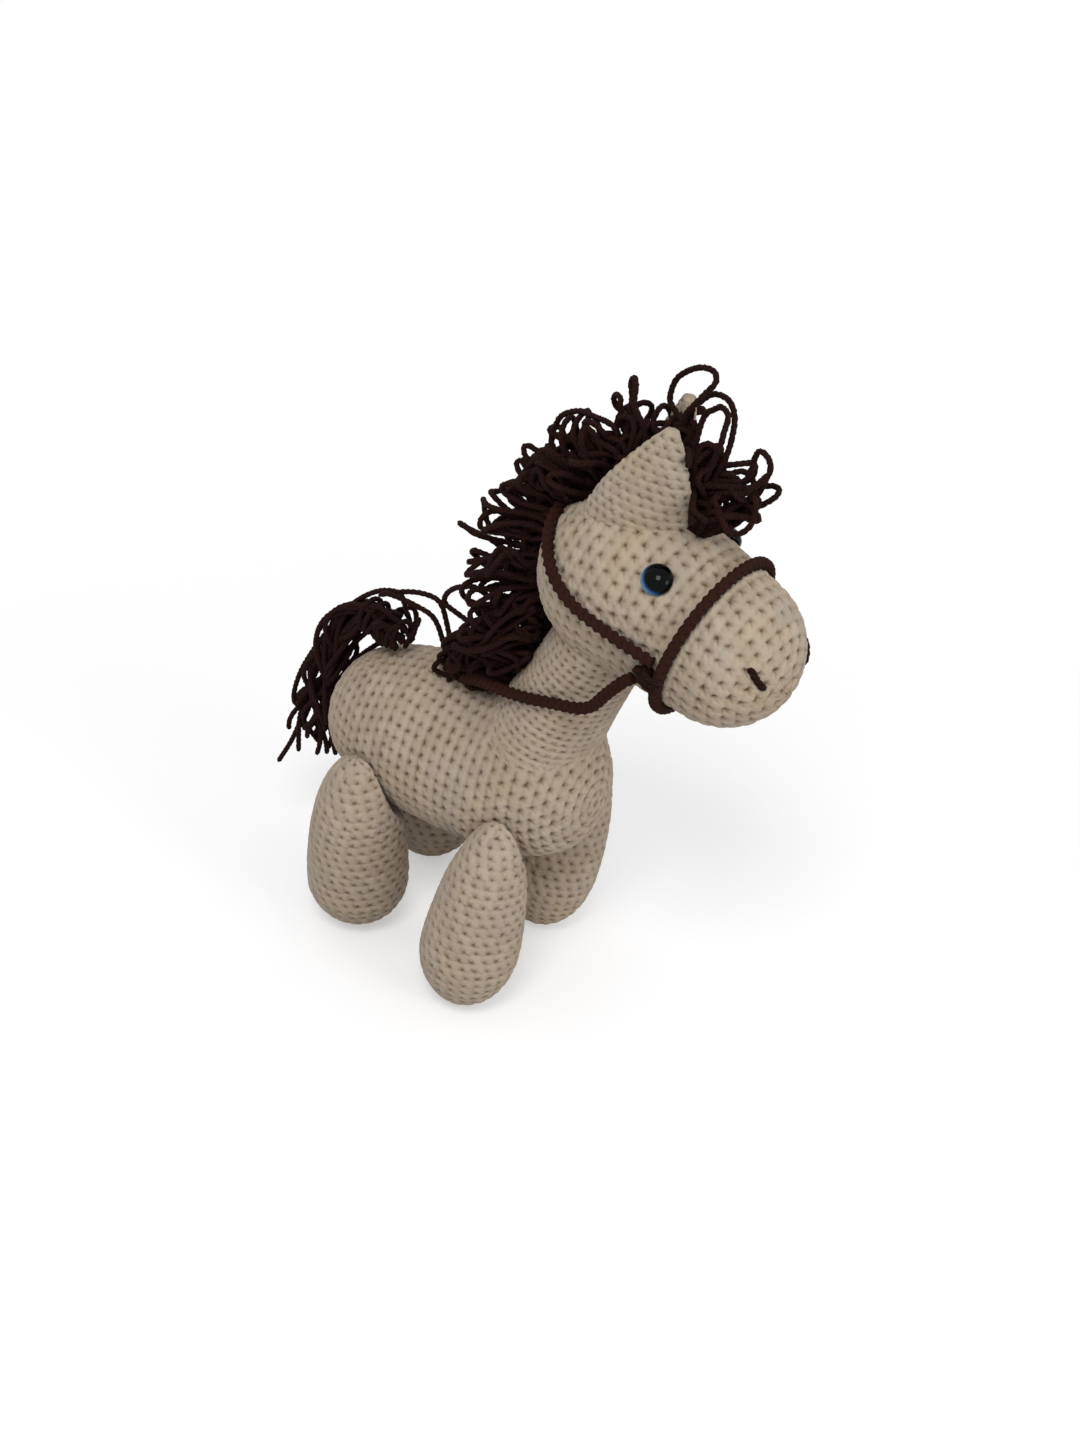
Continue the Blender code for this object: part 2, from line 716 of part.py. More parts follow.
def behind_neck(share):
    """The crest down the back of the neck at a share of its length."""
    height = NECK_LENGTH * share
    return NECK_ROOT + NECK_AXIS * height + NECK_BACK * (neck_radius(height) + YARN_LIFT)


withers_y = behind_neck(WITHERS_NECK_SHARE).y + WITHERS_BEHIND_NECK
withers = Vector((0.0, withers_y, BODY_MIDDLE_Z + body_radius(withers_y) + YARN_LIFT))
nape_line = [
    behind_head(MANE_TOP_ANGLE),
    behind_head(MANE_TOP_ANGLE / 2),
    behind_head(0.0),
    *[behind_neck(share) for share in NAPE_SHARES],
    withers,
]
crest = smooth_line(nape_line, CREST_POINTS)
nape_end = int(CREST_POINTS * NAPE_YARN_SHARE)
looped_yarn(
    "mane_forelock",
    head_top_line(FORELOCK_ALONG),
    FORELOCK_LOOPS,
    FORELOCK_HEIGHT,
    FORELOCK_WIDTH,
    FORELOCK_LEAN,
    FORELOCK_TILT,
)
looped_yarn(
    "mane_crown",
    head_top_line(CROWN_ALONG),
    CROWN_LOOPS,
    CROWN_HEIGHT,
    CROWN_WIDTH,
    CROWN_LEAN,
    CROWN_TILT,
)
looped_yarn(
    "mane_nape", crest[:nape_end], NAPE_LOOPS, NAPE_HEIGHT, NECK_LOOP_WIDTH, NECK_LOOP_LEAN, NAPE_TILT
)
looped_yarn(
    "mane_withers",
    crest[nape_end + 1 :],
    WITHERS_LOOPS,
    WITHERS_HEIGHT,
    NECK_LOOP_WIDTH,
    NECK_LOOP_LEAN,
    WITHERS_TILT,
)


# Legs, threaded through the body in pairs so that each turns about the lateral line


def flank_reach(pivot_y, swing, distance):
    """How far out the flank comes beside a leg, at a distance from its pivot.

    It is the most that the flank is anywhere that the leg gets to over its swing.
    """
    drop = LEG_PIVOT_HEIGHT - FOOT_BALL_HEIGHT
    broad = leg_radius(max(drop - distance, 0.0), drop + LEG_TOP_OVER_PIVOT)
    spread = math.asin(broad / distance) if distance > broad else math.pi
    turns = np.linspace(swing[0] - spread, swing[1] + spread, 25)
    return max(
        body_half_width(
            pivot_y - distance * math.sin(turn), LEG_PIVOT_HEIGHT - distance * math.cos(turn)
        )
        for turn in turns
    )


def leg_thread(name, pivot_y, swing):
    """A doubled thread through the body, with a knot inside each leg of the pair."""
    flank = flank_reach(pivot_y, swing, LEG_KNOT_RADIUS)
    knot_at = flank + WALL + LEG_KNOT_RADIUS + 3 * SEAM_GAP
    neck = math.asin(LEG_THREAD_RADIUS / LEG_KNOT_RADIUS)
    knob = [
        (LEG_KNOT_RADIUS * math.sin(a), knot_at + LEG_KNOT_RADIUS * math.cos(a))
        for a in np.linspace(0.0, math.pi - neck, 6)
    ]
    outline = knob + [(radius, -height) for radius, height in reversed(knob)]
    place = frame(Vector((0.0, pivot_y, LEG_PIVOT_HEIGHT)), X_AXIS, Z_AXIS)
    keep(turned(name, outline, place, ring=10), SEWING_THREAD)
    bore_radius = LEG_THREAD_RADIUS + SEAM_GAP
    bore = closed_ends([(bore_radius, knot_at), (bore_radius, -knot_at)])
    cut(body_skin, as_cutter(turned(f"{name}_skin_bore", bore, place, COARSE_RING)))
    wide = closed_ends([(bore_radius + SEAM_GAP, knot_at), (bore_radius + SEAM_GAP, -knot_at)])
    cut(body_stuffing, as_cutter(turned(f"{name}_filling_bore", wide, place, COARSE_RING)))
    return knot_at


def swept_flank(name, pivot, side, swing, lift):
    """The flank's room beside a leg over its whole swing, turned about the pivot's line."""
    far = LEG_PIVOT_HEIGHT - FOOT_BALL_HEIGHT
    sides = [
        (distance, flank_reach(pivot.y, swing, distance) + SEAM_GAP + lift)
        for distance in np.linspace(0.0, far, 10)
    ]
    outline = [*sides, (far, 0.0), (0.0, 0.0)]
    place = frame(Vector((0.0, pivot.y, pivot.z)), X_AXIS * side, Z_AXIS)
    return as_cutter(turned(name, outline, place))


floor_cut = as_cutter(
    box(
        "floor_cut",
        (-FLOOR_CUT_REACH, -FLOOR_CUT_REACH, -LEG_RADIUS),
        (FLOOR_CUT_REACH, FLOOR_CUT_REACH, 0.0),
    )
)


def leg(name, pivot_y, swing, knot_at):
    """A leg's skin, hollow for its filling, pressed to the flank and flat at the sole."""
    sideways_share, behind_share = FEET_SHARES[name]
    side = math.copysign(1.0, sideways_share)
    foot = BODY_MIDDLE + X_AXIS * BODY_RADIUS * sideways_share
    foot += Y_AXIS * BODY_HALF_LENGTH * behind_share
    foot.z = FOOT_BALL_HEIGHT
    drop = LEG_PIVOT_HEIGHT - FOOT_BALL_HEIGHT
    flank = flank_reach(pivot_y, swing, LEG_KNOT_RADIUS)
    broad = leg_radius(drop, drop + LEG_TOP_OVER_PIVOT)
    pivot = Vector((side * (flank + broad - LEG_PRESS), pivot_y, LEG_PIVOT_HEIGHT))
    tip = (pivot - foot).length + LEG_TOP_OVER_PIVOT
    place = frame(foot, pivot - foot, X_AXIS)
    joint = bpy.data.objects.new(f"{name}_pivot", None)
    joint.location = pivot
    parts.objects.link(joint)
    bpy.context.view_layer.update()

    outline = leg_outline(tip, 0.0, 0.0, LEG_STEPS)
    inside = leg_outline(tip, WALL, LAST_ROUND_HOLE, LEG_STEPS)
    throat = [(0.0, tip + CUT_OVERRUN), (LAST_ROUND_HOLE, tip + CUT_OVERRUN)]
    hollow = as_cutter(turned(f"{name}_hollow", throat + inside, place, ring=LEG_RING))
    cut(hollow, swept_flank(f"{name}_inner_flank", pivot, side, swing, WALL))
    sideways = frame(Vector((0.0, pivot.y, pivot.z)), X_AXIS * side, Z_AXIS)
    thread_hole = LEG_THREAD_RADIUS + SEAM_GAP
    bore = closed_ends([(thread_hole, knot_at), (thread_hole, 0.0)])
    skin = turned(f"{name}_skin", outline, place, ring=LEG_RING)
    cut(skin, swept_flank(f"{name}_flank", pivot, side, swing, 0.0), hollow)
    cut(skin, as_cutter(turned(f"{name}_thread_hole", bore, sideways, COARSE_RING)), floor_cut)
    keep(skin, CREAM_YARN, joint)

    filling = [(0.0, inside[0][1] - SEAM_GAP)]
    for radius, height in inside[1:-1:2]:
        filling.append((radius - SEAM_GAP, height + (SEAM_GAP if height < 0 else 0.0)))
    filling.append((0.0, inside[-1][1] + SEAM_GAP))
    stuffing = turned(f"{name}_stuffing", filling, place, ring=LEG_RING // 2)
    knot_room = knot_at + LEG_KNOT_RADIUS + SEAM_GAP
    pocket_radius = LEG_KNOT_RADIUS + SEAM_GAP
    pocket = closed_ends([(pocket_radius, knot_room), (pocket_radius, 0.0)])
    cut(stuffing, swept_flank(f"{name}_filling_flank", pivot, side, swing, WALL + SEAM_GAP))
    cut(stuffing, as_cutter(turned(f"{name}_knot_pocket", pocket, sideways, COARSE_RING)))
    keep(stuffing, FILLING, joint)
    print(f"{name}: pivot {[round(v, 5) for v in pivot]}")


front_y = BODY_MIDDLE_Y - FRONT_LEG_AHEAD
hind_y = BODY_MIDDLE_Y + HIND_LEG_BEHIND
front_knot = leg_thread("front_leg_thread", front_y, FRONT_SWING)
hind_knot = leg_thread("hind_leg_thread", hind_y, HIND_SWING)
leg("leg_front_right", front_y, FRONT_SWING, front_knot)
leg("leg_front_left", front_y, FRONT_SWING, front_knot)
leg("leg_hind_right", hind_y, HIND_SWING, hind_knot)
leg("leg_hind_left", hind_y, HIND_SWING, hind_knot)


# Tail: one yarn looped from the root to the ends and back, held by a tie

def line_frames(line, count):
    """Points along an upright line with their tangents and upper directions."""
    points = smooth_line(line, count)
    tangent = np.gradient(points, axis=0)
    tangent /= np.linalg.norm(tangent, axis=1)[:, None]
    outward = np.cross(np.array(X_AXIS), tangent)
    return points, tangent, outward


def on_rump(y, lift):
    """A place above the ridge of the barrel, lifted square to the skin."""
    slope = body_radius(y + NORMAL_STEP) - body_radius(y - NORMAL_STEP)
    outward = (Z_AXIS * 2 * NORMAL_STEP - Y_AXIS * slope).normalized()
    return Vector((0.0, y, BODY_MIDDLE_Z + body_radius(y))) + outward * lift


tail_controls = [
    Y_AXIS * TAIL_REACH * behind_share + Z_AXIS * TAIL_DROP * above_share
    for behind_share, above_share in TAIL_LINE_SHARES
]
tail_middle, tail_tangent, tail_outward = line_frames(tail_controls, TAIL_STEPS + 1)
tail_foot = on_rump(BODY_MIDDLE_Y + TAIL_ROOT_BEHIND, YARN / 2 + SEAM_GAP)
tail_root = tail_foot + Vector(tail_outward[0]) * TAIL_ROOT_RADIUS
tail_middle = tail_middle + np.array(tail_root)
tail_pivot = bpy.data.objects.new("tail_pivot", None)
tail_pivot.location = tail_root
parts.objects.link(tail_pivot)
bpy.context.view_layer.update()
print(f"tail: pivot {[round(v, 5) for v in tail_root]}")


def tail_point(share, turn, ahead=0.0):
    """A place round the tail's middle line, whose bundle widens towards the end.

    Turn 0 is below the line, where the bundle's root lies on the rump.
    """
    at = int(round(share * TAIL_STEPS))
    radius = TAIL_ROOT_RADIUS + (TAIL_END_RADIUS - TAIL_ROOT_RADIUS) * share
    across = math.sin(turn) * np.array(X_AXIS) - math.cos(turn) * tail_outward[at]
    return tail_middle[at] + radius * across + tail_tangent[at] * ahead


def tail_path():
    """Straight passes along the tail, joined at both ends by half-circle bends."""
    passes = 2 * TAIL_LOOPS
    pitch = FULL_TURN / passes
    path = []
    for number in range(passes):
        shares = np.linspace(0.0, 1.0, TAIL_PASS_POINTS)
        end, forward, radius = 1.0, 1.0, TAIL_END_RADIUS
        if number % 2:
            shares = shares[::-1]
            end, forward, radius = 0.0, -1.0, TAIL_ROOT_RADIUS
        path += [tail_point(share, pitch * number) for share in shares]
        if number < passes - 1:
            for bend in np.linspace(0.0, math.pi, 5)[1:-1]:
                turn = pitch * (number + (1 - math.cos(bend)) / 2)
                path.append(tail_point(end, turn, forward * radius * pitch / 2 * math.sin(bend)))
    return path


tail_yarn = tail_path()
gap = least_self_gap(tail_yarn, YARN / 2, 3 * YARN)
print(f"tail_yarn: least gap to itself {gap * 1000:.2f} mm")
keep(tube("tail_yarn", tail_yarn, YARN / 2, resolution=1), BROWN_YARN, tail_pivot)

tie_at = int(TAIL_TIE_ALONG_SHARE * TAIL_STEPS)
tie_radius = TAIL_ROOT_RADIUS + (TAIL_END_RADIUS - TAIL_ROOT_RADIUS) * TAIL_TIE_ALONG_SHARE + YARN + SEAM_GAP
tie_place = frame(Vector(tail_middle[tie_at]), Vector(tail_tangent[tie_at]), X_AXIS)
tie_ring = [
    tie_place @ Vector((tie_radius * math.cos(a), tie_radius * math.sin(a), 0.0))
    for a in np.linspace(0.0, FULL_TURN, 20, endpoint=False)
]
keep(tube("tail_tie", tie_ring, YARN / 2, closed=True, resolution=1), BROWN_YARN, tail_pivot)
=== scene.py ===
# %% [markdown]
# # A crocheted toy horse, dressed over its solids
# The toy is worked in cotton yarn: a body, a head, a neck, four legs and two ears in
# cream, and a mane, a tail and a halter in dark brown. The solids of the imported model
# give each piece its place. This lesson puts the real surface over them: single crochet
# on the stuffed pieces, plied yarn in the mane and tail, and plaited cord in the halter.
# Lengths are written in millimetres and turned to metres by MM.

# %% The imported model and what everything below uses
import math

import bpy
import numpy as np
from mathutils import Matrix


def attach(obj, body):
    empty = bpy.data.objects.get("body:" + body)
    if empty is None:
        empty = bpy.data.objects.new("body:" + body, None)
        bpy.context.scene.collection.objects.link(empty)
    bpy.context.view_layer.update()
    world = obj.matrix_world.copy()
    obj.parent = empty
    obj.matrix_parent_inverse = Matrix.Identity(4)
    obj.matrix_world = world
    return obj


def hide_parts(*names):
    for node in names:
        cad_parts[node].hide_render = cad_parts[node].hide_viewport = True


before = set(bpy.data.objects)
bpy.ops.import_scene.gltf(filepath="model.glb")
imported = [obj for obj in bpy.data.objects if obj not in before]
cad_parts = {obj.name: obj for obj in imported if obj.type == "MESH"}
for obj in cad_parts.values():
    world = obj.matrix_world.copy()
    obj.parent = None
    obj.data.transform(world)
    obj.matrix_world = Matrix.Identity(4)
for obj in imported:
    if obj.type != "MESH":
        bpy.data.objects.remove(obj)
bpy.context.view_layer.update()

MM = 0.001
X, Y, Z = np.eye(3)

# %% [markdown]
# ## Camera
# A camera could be aimed by hand, but its place was worked out once from places on the
# horse that are easy to find in a picture: the four feet, the eye and the nostril. It
# stands at the horse's right, a little in front, and looks down. A small roll about its
# own line of sight tips the floor. With a 50 mm lens the horse is small in the frame.

# %% Camera
CAMERA_PLACE = np.array((-583.1, -331.9, 563.2)) * MM
CAMERA_AIM = np.array((7.0, -4.8, 113.2)) * MM
CAMERA_ROLL = math.radians(6.3)


def unit(v):
    """A direction: the arrow over its own length."""
    v = np.asarray(v, float)
    return v / np.linalg.norm(v, axis=-1, keepdims=True)


def stand(data, place, aim, roll=0.0):
    """Puts a camera or a lamp at a place, facing its aim.

    Back points away from the aim, right is level and square to back, and the roll turns
    right towards up by its angle.
    """
    place, aim = np.array(place, float), np.array(aim, float)
    back = unit(place - aim)
    right = unit(np.cross(Z, back))
    up = np.cross(back, right)
    c, s = math.cos(roll), math.sin(roll)
    table = np.eye(4)
    table[:3] = np.column_stack([c * right + s * up, c * up - s * right, back, place])
    made = bpy.data.objects.new(data.name, data)
    bpy.context.scene.collection.objects.link(made)
    made.matrix_world = table.T.tolist()
    return made


lens = bpy.data.cameras.new("camera")
lens.lens, lens.sensor_width = 50.0, 36.0
bpy.context.scene.camera = stand(lens, CAMERA_PLACE, CAMERA_AIM, CAMERA_ROLL)
print("camera is", round(float(np.linalg.norm(CAMERA_PLACE - CAMERA_AIM)) / MM), "mm away")

# %% [markdown]
# ## Materials: a few helpers
# A shader is a small graph of nodes. Building it takes the same three moves again and
# again: add a node, set some of its values, link its inputs. One function does these
# moves, and a few short ones name what they are most used for, so each material below
# reads as a list of what it is made of. Colours are written as sRGB hex, as they look,
# and turned to the linear values that light needs.

# %% Colour and node helpers
def linear(srgb_hex):
    """sRGB hex as linear red, green, blue and full alpha, by the sRGB curve."""
    c = np.array([int(srgb_hex[i : i + 2], 16) for i in (0, 2, 4)]) / 255
    c = np.where(c <= 0.04045, c / 12.92, ((c + 0.055) / 1.055) ** 2.4)
    return (*map(float, c), 1.0)


def add(tree, kind, settings=None, **sockets):
    """Adds a node. Each socket gets a plain value or a link from another node.

    A node given as a value stands for its first output. A socket's name is written with
    _ for its spaces, and a number stands for its place.
    """
    node = tree.nodes.new("ShaderNode" + kind)
    for name, value in (settings or {}).items():
        setattr(node, name, value)
    for name, value in sockets.items():
        key = int(name[1:]) if name[0] == "_" else name.replace("_", " ")
        value = value.outputs[0] if isinstance(value, bpy.types.Node) else value
        if isinstance(value, bpy.types.NodeSocket):
            tree.links.new(value, node.inputs[key])
        else:
            node.inputs[key].default_value = value
    return node


def calc(tree, operation, *values, clamp=False):
    """A sum, a product or the like; clamp cuts it to between 0 and 1."""
    sockets = {f"_{place}": value for place, value in enumerate(values)}
    return add(tree, "Math", {"operation": operation, "use_clamp": clamp}, **sockets)


def spread(tree, value, width, middle=0.0):
    """A value from 0 to 1, spread over a width about a middle."""
    return calc(tree, "MULTIPLY_ADD", value, width, middle - width / 2)


def mark(tree, name):
    """The number that a mesh carries at each of its places, under a name."""
    return add(tree, "Attribute", {"attribute_name": name}).outputs["Fac"]


def noise(tree, size_mm, **more):
    """Noise fixed to the object, whose patches are about this many millimetres wide."""
    spot = add(tree, "TexCoord").outputs["Object"]
    return add(tree, "TexNoise", Vector=spot, Scale=1000 / size_mm, **more).outputs["Fac"]


def ramp(tree, factor, *stops):
    """A colour ramp from (position, hex) stops."""
    node = add(tree, "ValToRGB", Fac=factor)
    band = node.color_ramp
    while len(band.elements) < len(stops):
        band.elements.new(0.5)
    for element, (at, colour) in zip(band.elements, stops):
        element.position = at
        element.color = linear(colour)
    return node


def new_material(name):
    """A material with an empty graph, and that graph."""
    made = bpy.data.materials.new(name)
    made.use_nodes = True
    made.node_tree.nodes.clear()
    return made, made.node_tree


def principled(tree, bumps, strength, depth, **sockets):
    """The shader of every finish: bumps of a strength and depth under the given sockets."""
    bump = add(tree, "Bump", Height=bumps, Strength=strength, Distance=depth)
    shader = add(tree, "BsdfPrincipled", Normal=bump, **sockets)
    add(tree, "OutputMaterial", Surface=shader)

# %% [markdown]
# ## Floor, light and background
# A product picture has a white ground and a soft shadow. A floor lit up to white would
# need so much light that the pale yarn would burn out. So the light stays at a plain
# level, and the floor adds the missing white itself, only for rays that come straight
# from the camera or from a mirror-like surface. Its own shadow still darkens it.

# %% Floor, lamps and world
FLOOR_HALF, WHITE_FROM, WHITE_BY = 6.0, 0.14, 0.42
FLOOR_GLOW, SKY_LIGHT = 0.42, 0.62
WHITE = linear("FFFFFF")
LAMP_AIM = (0.0, 0.0, 0.12)
# A square lamp's place, the length of its side and its power.
LAMPS = {
    "key_light": ((-0.75, -0.25, 1.25), 0.45, 6.9),
    "fill_light": ((-0.2, -1.4, 0.7), 0.5, 4.3),
}


def seen_directly(tree):
    """1 for camera, glossy and transmission rays, otherwise 0: the largest of the three."""
    rays = add(tree, "LightPath").outputs
    most = calc(tree, "MAXIMUM", rays["Is Camera Ray"], rays["Is Glossy Ray"])
    return calc(tree, "MAXIMUM", most, rays["Is Transmission Ray"])


corners = [(FLOOR_HALF * x, FLOOR_HALF * y, 0) for x, y in ((-1, -1), (1, -1), (1, 1), (-1, 1))]
floor_mesh = bpy.data.meshes.new("floor")
floor_mesh.from_pydata(corners, [], [(0, 1, 2, 3)])
floor = bpy.data.objects.new("floor", floor_mesh)
bpy.context.scene.collection.objects.link(floor)

# Matt white paper: it scatters light evenly, so the shadow on it is soft and clean.
# Away from the horse it turns to plain white, so that no lamp's edge shows on it.
paper, tree = new_material("matt_white_paper")
scatter = add(tree, "BsdfDiffuse", Color=linear("D9D9D9"))
glow = add(tree, "Emission", Color=WHITE, Strength=FLOOR_GLOW)
both = add(tree, "AddShader", _0=scatter, _1=glow)
blank = add(tree, "Emission", Color=WHITE, Strength=1.0)
spot = add(tree, "TexCoord").outputs["Object"]
away = add(tree, "VectorMath", {"operation": "LENGTH"}, _0=spot).outputs["Value"]
smooth = {"interpolation_type": "SMOOTHSTEP"}
fade = add(tree, "MapRange", smooth, _0=away, _1=WHITE_FROM, _2=WHITE_BY)
ground = add(tree, "MixShader", _0=fade, _1=both, _2=blank)
shown = add(tree, "MixShader", _0=seen_directly(tree), _1=scatter, _2=ground)
add(tree, "OutputMaterial", Surface=shown)
floor_mesh.materials.append(paper)

world = bpy.data.worlds.new("studio")
bpy.context.scene.world = world
world.use_nodes = True
tree = world.node_tree
tree.nodes.clear()
soft_light = add(tree, "Background", Color=linear("F8F8FA"), Strength=SKY_LIGHT)
white_wall = add(tree, "Background", Color=WHITE, Strength=1.0)
shown = add(tree, "MixShader", _0=seen_directly(tree), _1=soft_light, _2=white_wall)
add(tree, "OutputWorld", Surface=shown)

for name, (place, side, watts) in LAMPS.items():
    lamp = bpy.data.lights.new(name, "AREA")
    lamp.shape, lamp.size, lamp.energy = "SQUARE", side, watts
    stand(lamp, place, LAMP_AIM)
bpy.context.scene.view_settings.view_transform = "Standard"

# %% [markdown]
# ## One kind of mesh for everything that is worked round
# A stuffed skin, a yarn and a cord are all the same kind of surface: rings of places,
# one after another, joined by four-sided faces and closed at both ends. So one function
# turns a table of places into a mesh. It also gives each face its own patch of a flat
# map, row by row.

# %% Mesh from rings of places
def ring_mesh(places, marks, tips=None, closed=False):
    """A closed surface from places[row, column], each row a ring that joins its end.

    Two rows and two columns give one four-sided face. Each end closes in triangles on a
    tip: the end ring's middle unless tips gives it. A closed one joins its last row to
    its first. The signed volume, a third of the sum of place dot face area, says whether
    the faces look outwards, and turns them if not.
    """
    rows, columns = places.shape[:2]
    index = np.arange(rows * columns).reshape(rows, columns)
    here, there = (index, np.roll(index, -1, 0)) if closed else (index[:-1], index[1:])
    quads = np.stack([here, np.roll(here, -1, 1), np.roll(there, -1, 1), there], -1).reshape(-1, 4)
    low, high = np.divmod(np.arange(len(quads)), columns)
    quad_map = np.stack([high, low, high + 1, low, high + 1, low + 1, high, low + 1], -1)
    quad_map = quad_map.reshape(-1, 4, 2)
    points, fans, fan_map = places.reshape(-1, 3), np.zeros((0, 3), int), np.zeros((0, 3, 2))
    values = {key: np.ravel(value) for key, value in marks.items()}
    if not closed:
        tips = (places[0].mean(0), places[-1].mean(0)) if tips is None else tips
        points = np.vstack([points, tips])
        at, zero = np.arange(columns), np.zeros(columns)
        tip = np.full(columns, rows * columns)
        beside = np.roll(index, -1, 1)
        fans = np.vstack([np.c_[tip, beside[0], index[0]], np.c_[tip + 1, index[-1], beside[-1]]])
        first = np.stack([at + 0.5, zero - 1, at + 1, zero, at, zero], -1)
        end = zero + rows - 1
        last = np.stack([at + 0.5, end + 1, at, end, at + 1, end], -1)
        fan_map = np.vstack([first, last]).reshape(-1, 3, 2)
        values = {key: np.r_[value, np.full(2, value.mean())] for key, value in values.items()}
    triangles = np.vstack([quads[:, [0, 1, 2]], quads[:, [0, 2, 3]], fans])
    a, b, c = (points[triangles[:, i]] for i in range(3))
    if np.einsum("ij,ij->", a, np.cross(b, c)) < 0:
        quads, fans = quads[:, ::-1], fans[:, ::-1]
        quad_map, fan_map = quad_map[:, ::-1], fan_map[:, ::-1]
    flat = np.vstack([quad_map.reshape(-1, 2), fan_map.reshape(-1, 2)]) + (0, 1)
    return points, quads, fans, flat / (columns, rows + 1), values


def piece(name, parts, mat):
    """An object from one or more ring meshes, laid in rows and columns on one flat map."""
    mesh = bpy.data.meshes.new(name)
    wide = len(parts) if len(parts) < 6 else math.ceil(math.sqrt(4 * len(parts)))
    tall = math.ceil(len(parts) / wide)
    offset, points, quads, fans, flats, marks = 0, [], [], [], [], {}
    for number, (p, q, f, flat, values) in enumerate(parts):
        points.append(p)
        quads.append(q + offset)
        fans.append(f + offset)
        flat = (flat * 0.96 + 0.02 + (number % wide, number // wide)) / (wide, tall)
        flats.append((flat[: q.size], flat[q.size :]))
        offset += len(p)
        for key, value in values.items():
            marks.setdefault(key, []).append(value)
    points, quads, fans = np.vstack(points), np.vstack(quads), np.vstack(fans)
    corners = np.r_[quads.ravel(), fans.ravel()]
    sizes = np.r_[np.full(len(quads), 4), np.full(len(fans), 3)]
    mesh.vertices.add(len(points))
    mesh.vertices.foreach_set("co", points.ravel())
    mesh.loops.add(len(corners))
    mesh.loops.foreach_set("vertex_index", corners)
    mesh.polygons.add(len(sizes))
    mesh.polygons.foreach_set("loop_start", np.r_[0, np.cumsum(sizes)[:-1]])
    mesh.polygons.foreach_set("use_smooth", np.ones(len(sizes), bool))
    mesh.update(calc_edges=True)
    layer = mesh.uv_layers.new(name="OFBake")
    flat = np.vstack([quad for quad, fan in flats] + [fan for quad, fan in flats])
    layer.uv.foreach_set("vector", flat.ravel())
    for key, value in marks.items():
        held = mesh.attributes.new(key, "FLOAT", "POINT")
        held.data.foreach_set("value", np.concatenate(value).astype(np.float32))
    mesh.materials.append(mat)
    made = bpy.data.objects.new(name, mesh)
    bpy.context.scene.collection.objects.link(made)
    print(f"{name}: {len(quads) * 2 + len(fans)} triangles")
    return made


def worn_by(made, body, slot, *nodes):
    """Says which body a piece moves with and the solids it stands for; slot is not used."""
    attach(made, body)
    if nodes:
        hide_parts(*nodes)
    return made

# %% [markdown]
# ## Lines, and a profile carried along a line
# A yarn is a round profile carried along a line. The line is bent through a few points
# with a Catmull-Rom curve, which passes through every one of them. The profile needs two
# directions square to the line at each place. If they were worked out place by place they
# would flip, so each pair is the last one turned by the least that the line turns.

# %% Smooth lines and their frames
def smooth_line(controls, spacing):
    """Evenly spaced places on the Catmull-Rom curve through the controls.

    Between two controls the place is a cubic in the share of the way, whose slope at a
    control is half the arrow between its two neighbours.
    """
    p = np.asarray(controls, float)
    p = np.vstack([2 * p[0] - p[1], p, 2 * p[-1] - p[-2]])
    t = np.linspace(0, 1, 16, endpoint=False)[None, :, None]
    a, b, c, d = (p[i : len(p) - 3 + i, None] for i in range(4))
    fine = b + 0.5 * (c - a) * t + 0.5 * (2 * a - 5 * b + 4 * c - d) * t**2
    fine = fine + 0.5 * (3 * b - a - 3 * c + d) * t**3
    return evenly(np.vstack([fine.reshape(-1, 3), p[-2]]), spacing)


def travel(line):
    """How far along the line each place is."""
    return np.r_[0, np.cumsum(np.linalg.norm(np.diff(line, axis=0), axis=1))]


def evenly(line, spacing):
    """The same line with its places evenly spaced."""
    run = travel(line)
    at = np.linspace(0, run[-1], max(int(round(run[-1] / spacing)), 4) + 1)
    return np.column_stack([np.interp(at, run, line[:, k]) for k in range(3)])


def slopes(line, closed=False):
    """The line's direction at each place."""
    if closed:
        return unit(np.roll(line, -1, 0) - np.roll(line, 1, 0))
    return unit(np.gradient(line, axis=0))


def frames(line, up, closed=False):
    """Two directions square to the line: the second is up, made square to it."""
    tangent = slopes(line, closed)
    side = unit(np.cross(tangent, np.broadcast_to(np.asarray(up, float), line.shape)))
    return side, np.cross(side, tangent)


def carried_frames(line):
    """Two directions square to the line, each pair the last one turned the least."""
    tangent = slopes(line)
    side = np.empty_like(line)
    side[0] = unit(np.cross(tangent[0], Z if abs(tangent[0][2]) < 0.9 else X))
    for i in range(1, len(line)):
        side[i] = side[i - 1] - tangent[i] * (side[i - 1] @ tangent[i])
        side[i] /= np.linalg.norm(side[i])
    return side, np.cross(side, tangent)


def strand_outline(centres, radius, columns):
    """How far the outline of a bunch of round strands is, in each of the columns.

    centres[row, strand] are flat places. The ray at a column's angle leaves a strand at
    the ray's part of the centre plus the root of radius squared less the centre's part
    across the ray squared. The furthest of these is the bunch's outline there.
    """
    angle = np.linspace(0, 2 * np.pi, columns, endpoint=False)
    ray = np.stack([np.cos(angle), np.sin(angle)], -1)
    along = centres @ ray.T
    across = centres[..., :1] * ray[:, 1] - centres[..., 1:] * ray[:, 0]
    left = radius**2 - across**2
    far = np.where(left > 0, along + np.sqrt(np.maximum(left, 0)), 0)
    return far.max(1), angle

# %% [markdown]
# ## Plied yarn and plaited cord
# The yarn is three plies twisted together. Three separate tubes would make a heavy mesh,
# so each ring takes only the outline of the three round plies at that place, and the
# outline turns with the twist. The halter's cord is a row of chain stitches, which shows
# as a plait: three strands that cross from side to side. The same outline draws it.

# %% Yarn and cord
PLY_TWIST, CHAIN_STITCH = 7.5 * MM, 5.2 * MM
PLY_SHARE, STRAND_SHARE, END_SHARE = 0.56, 0.35, 0.7


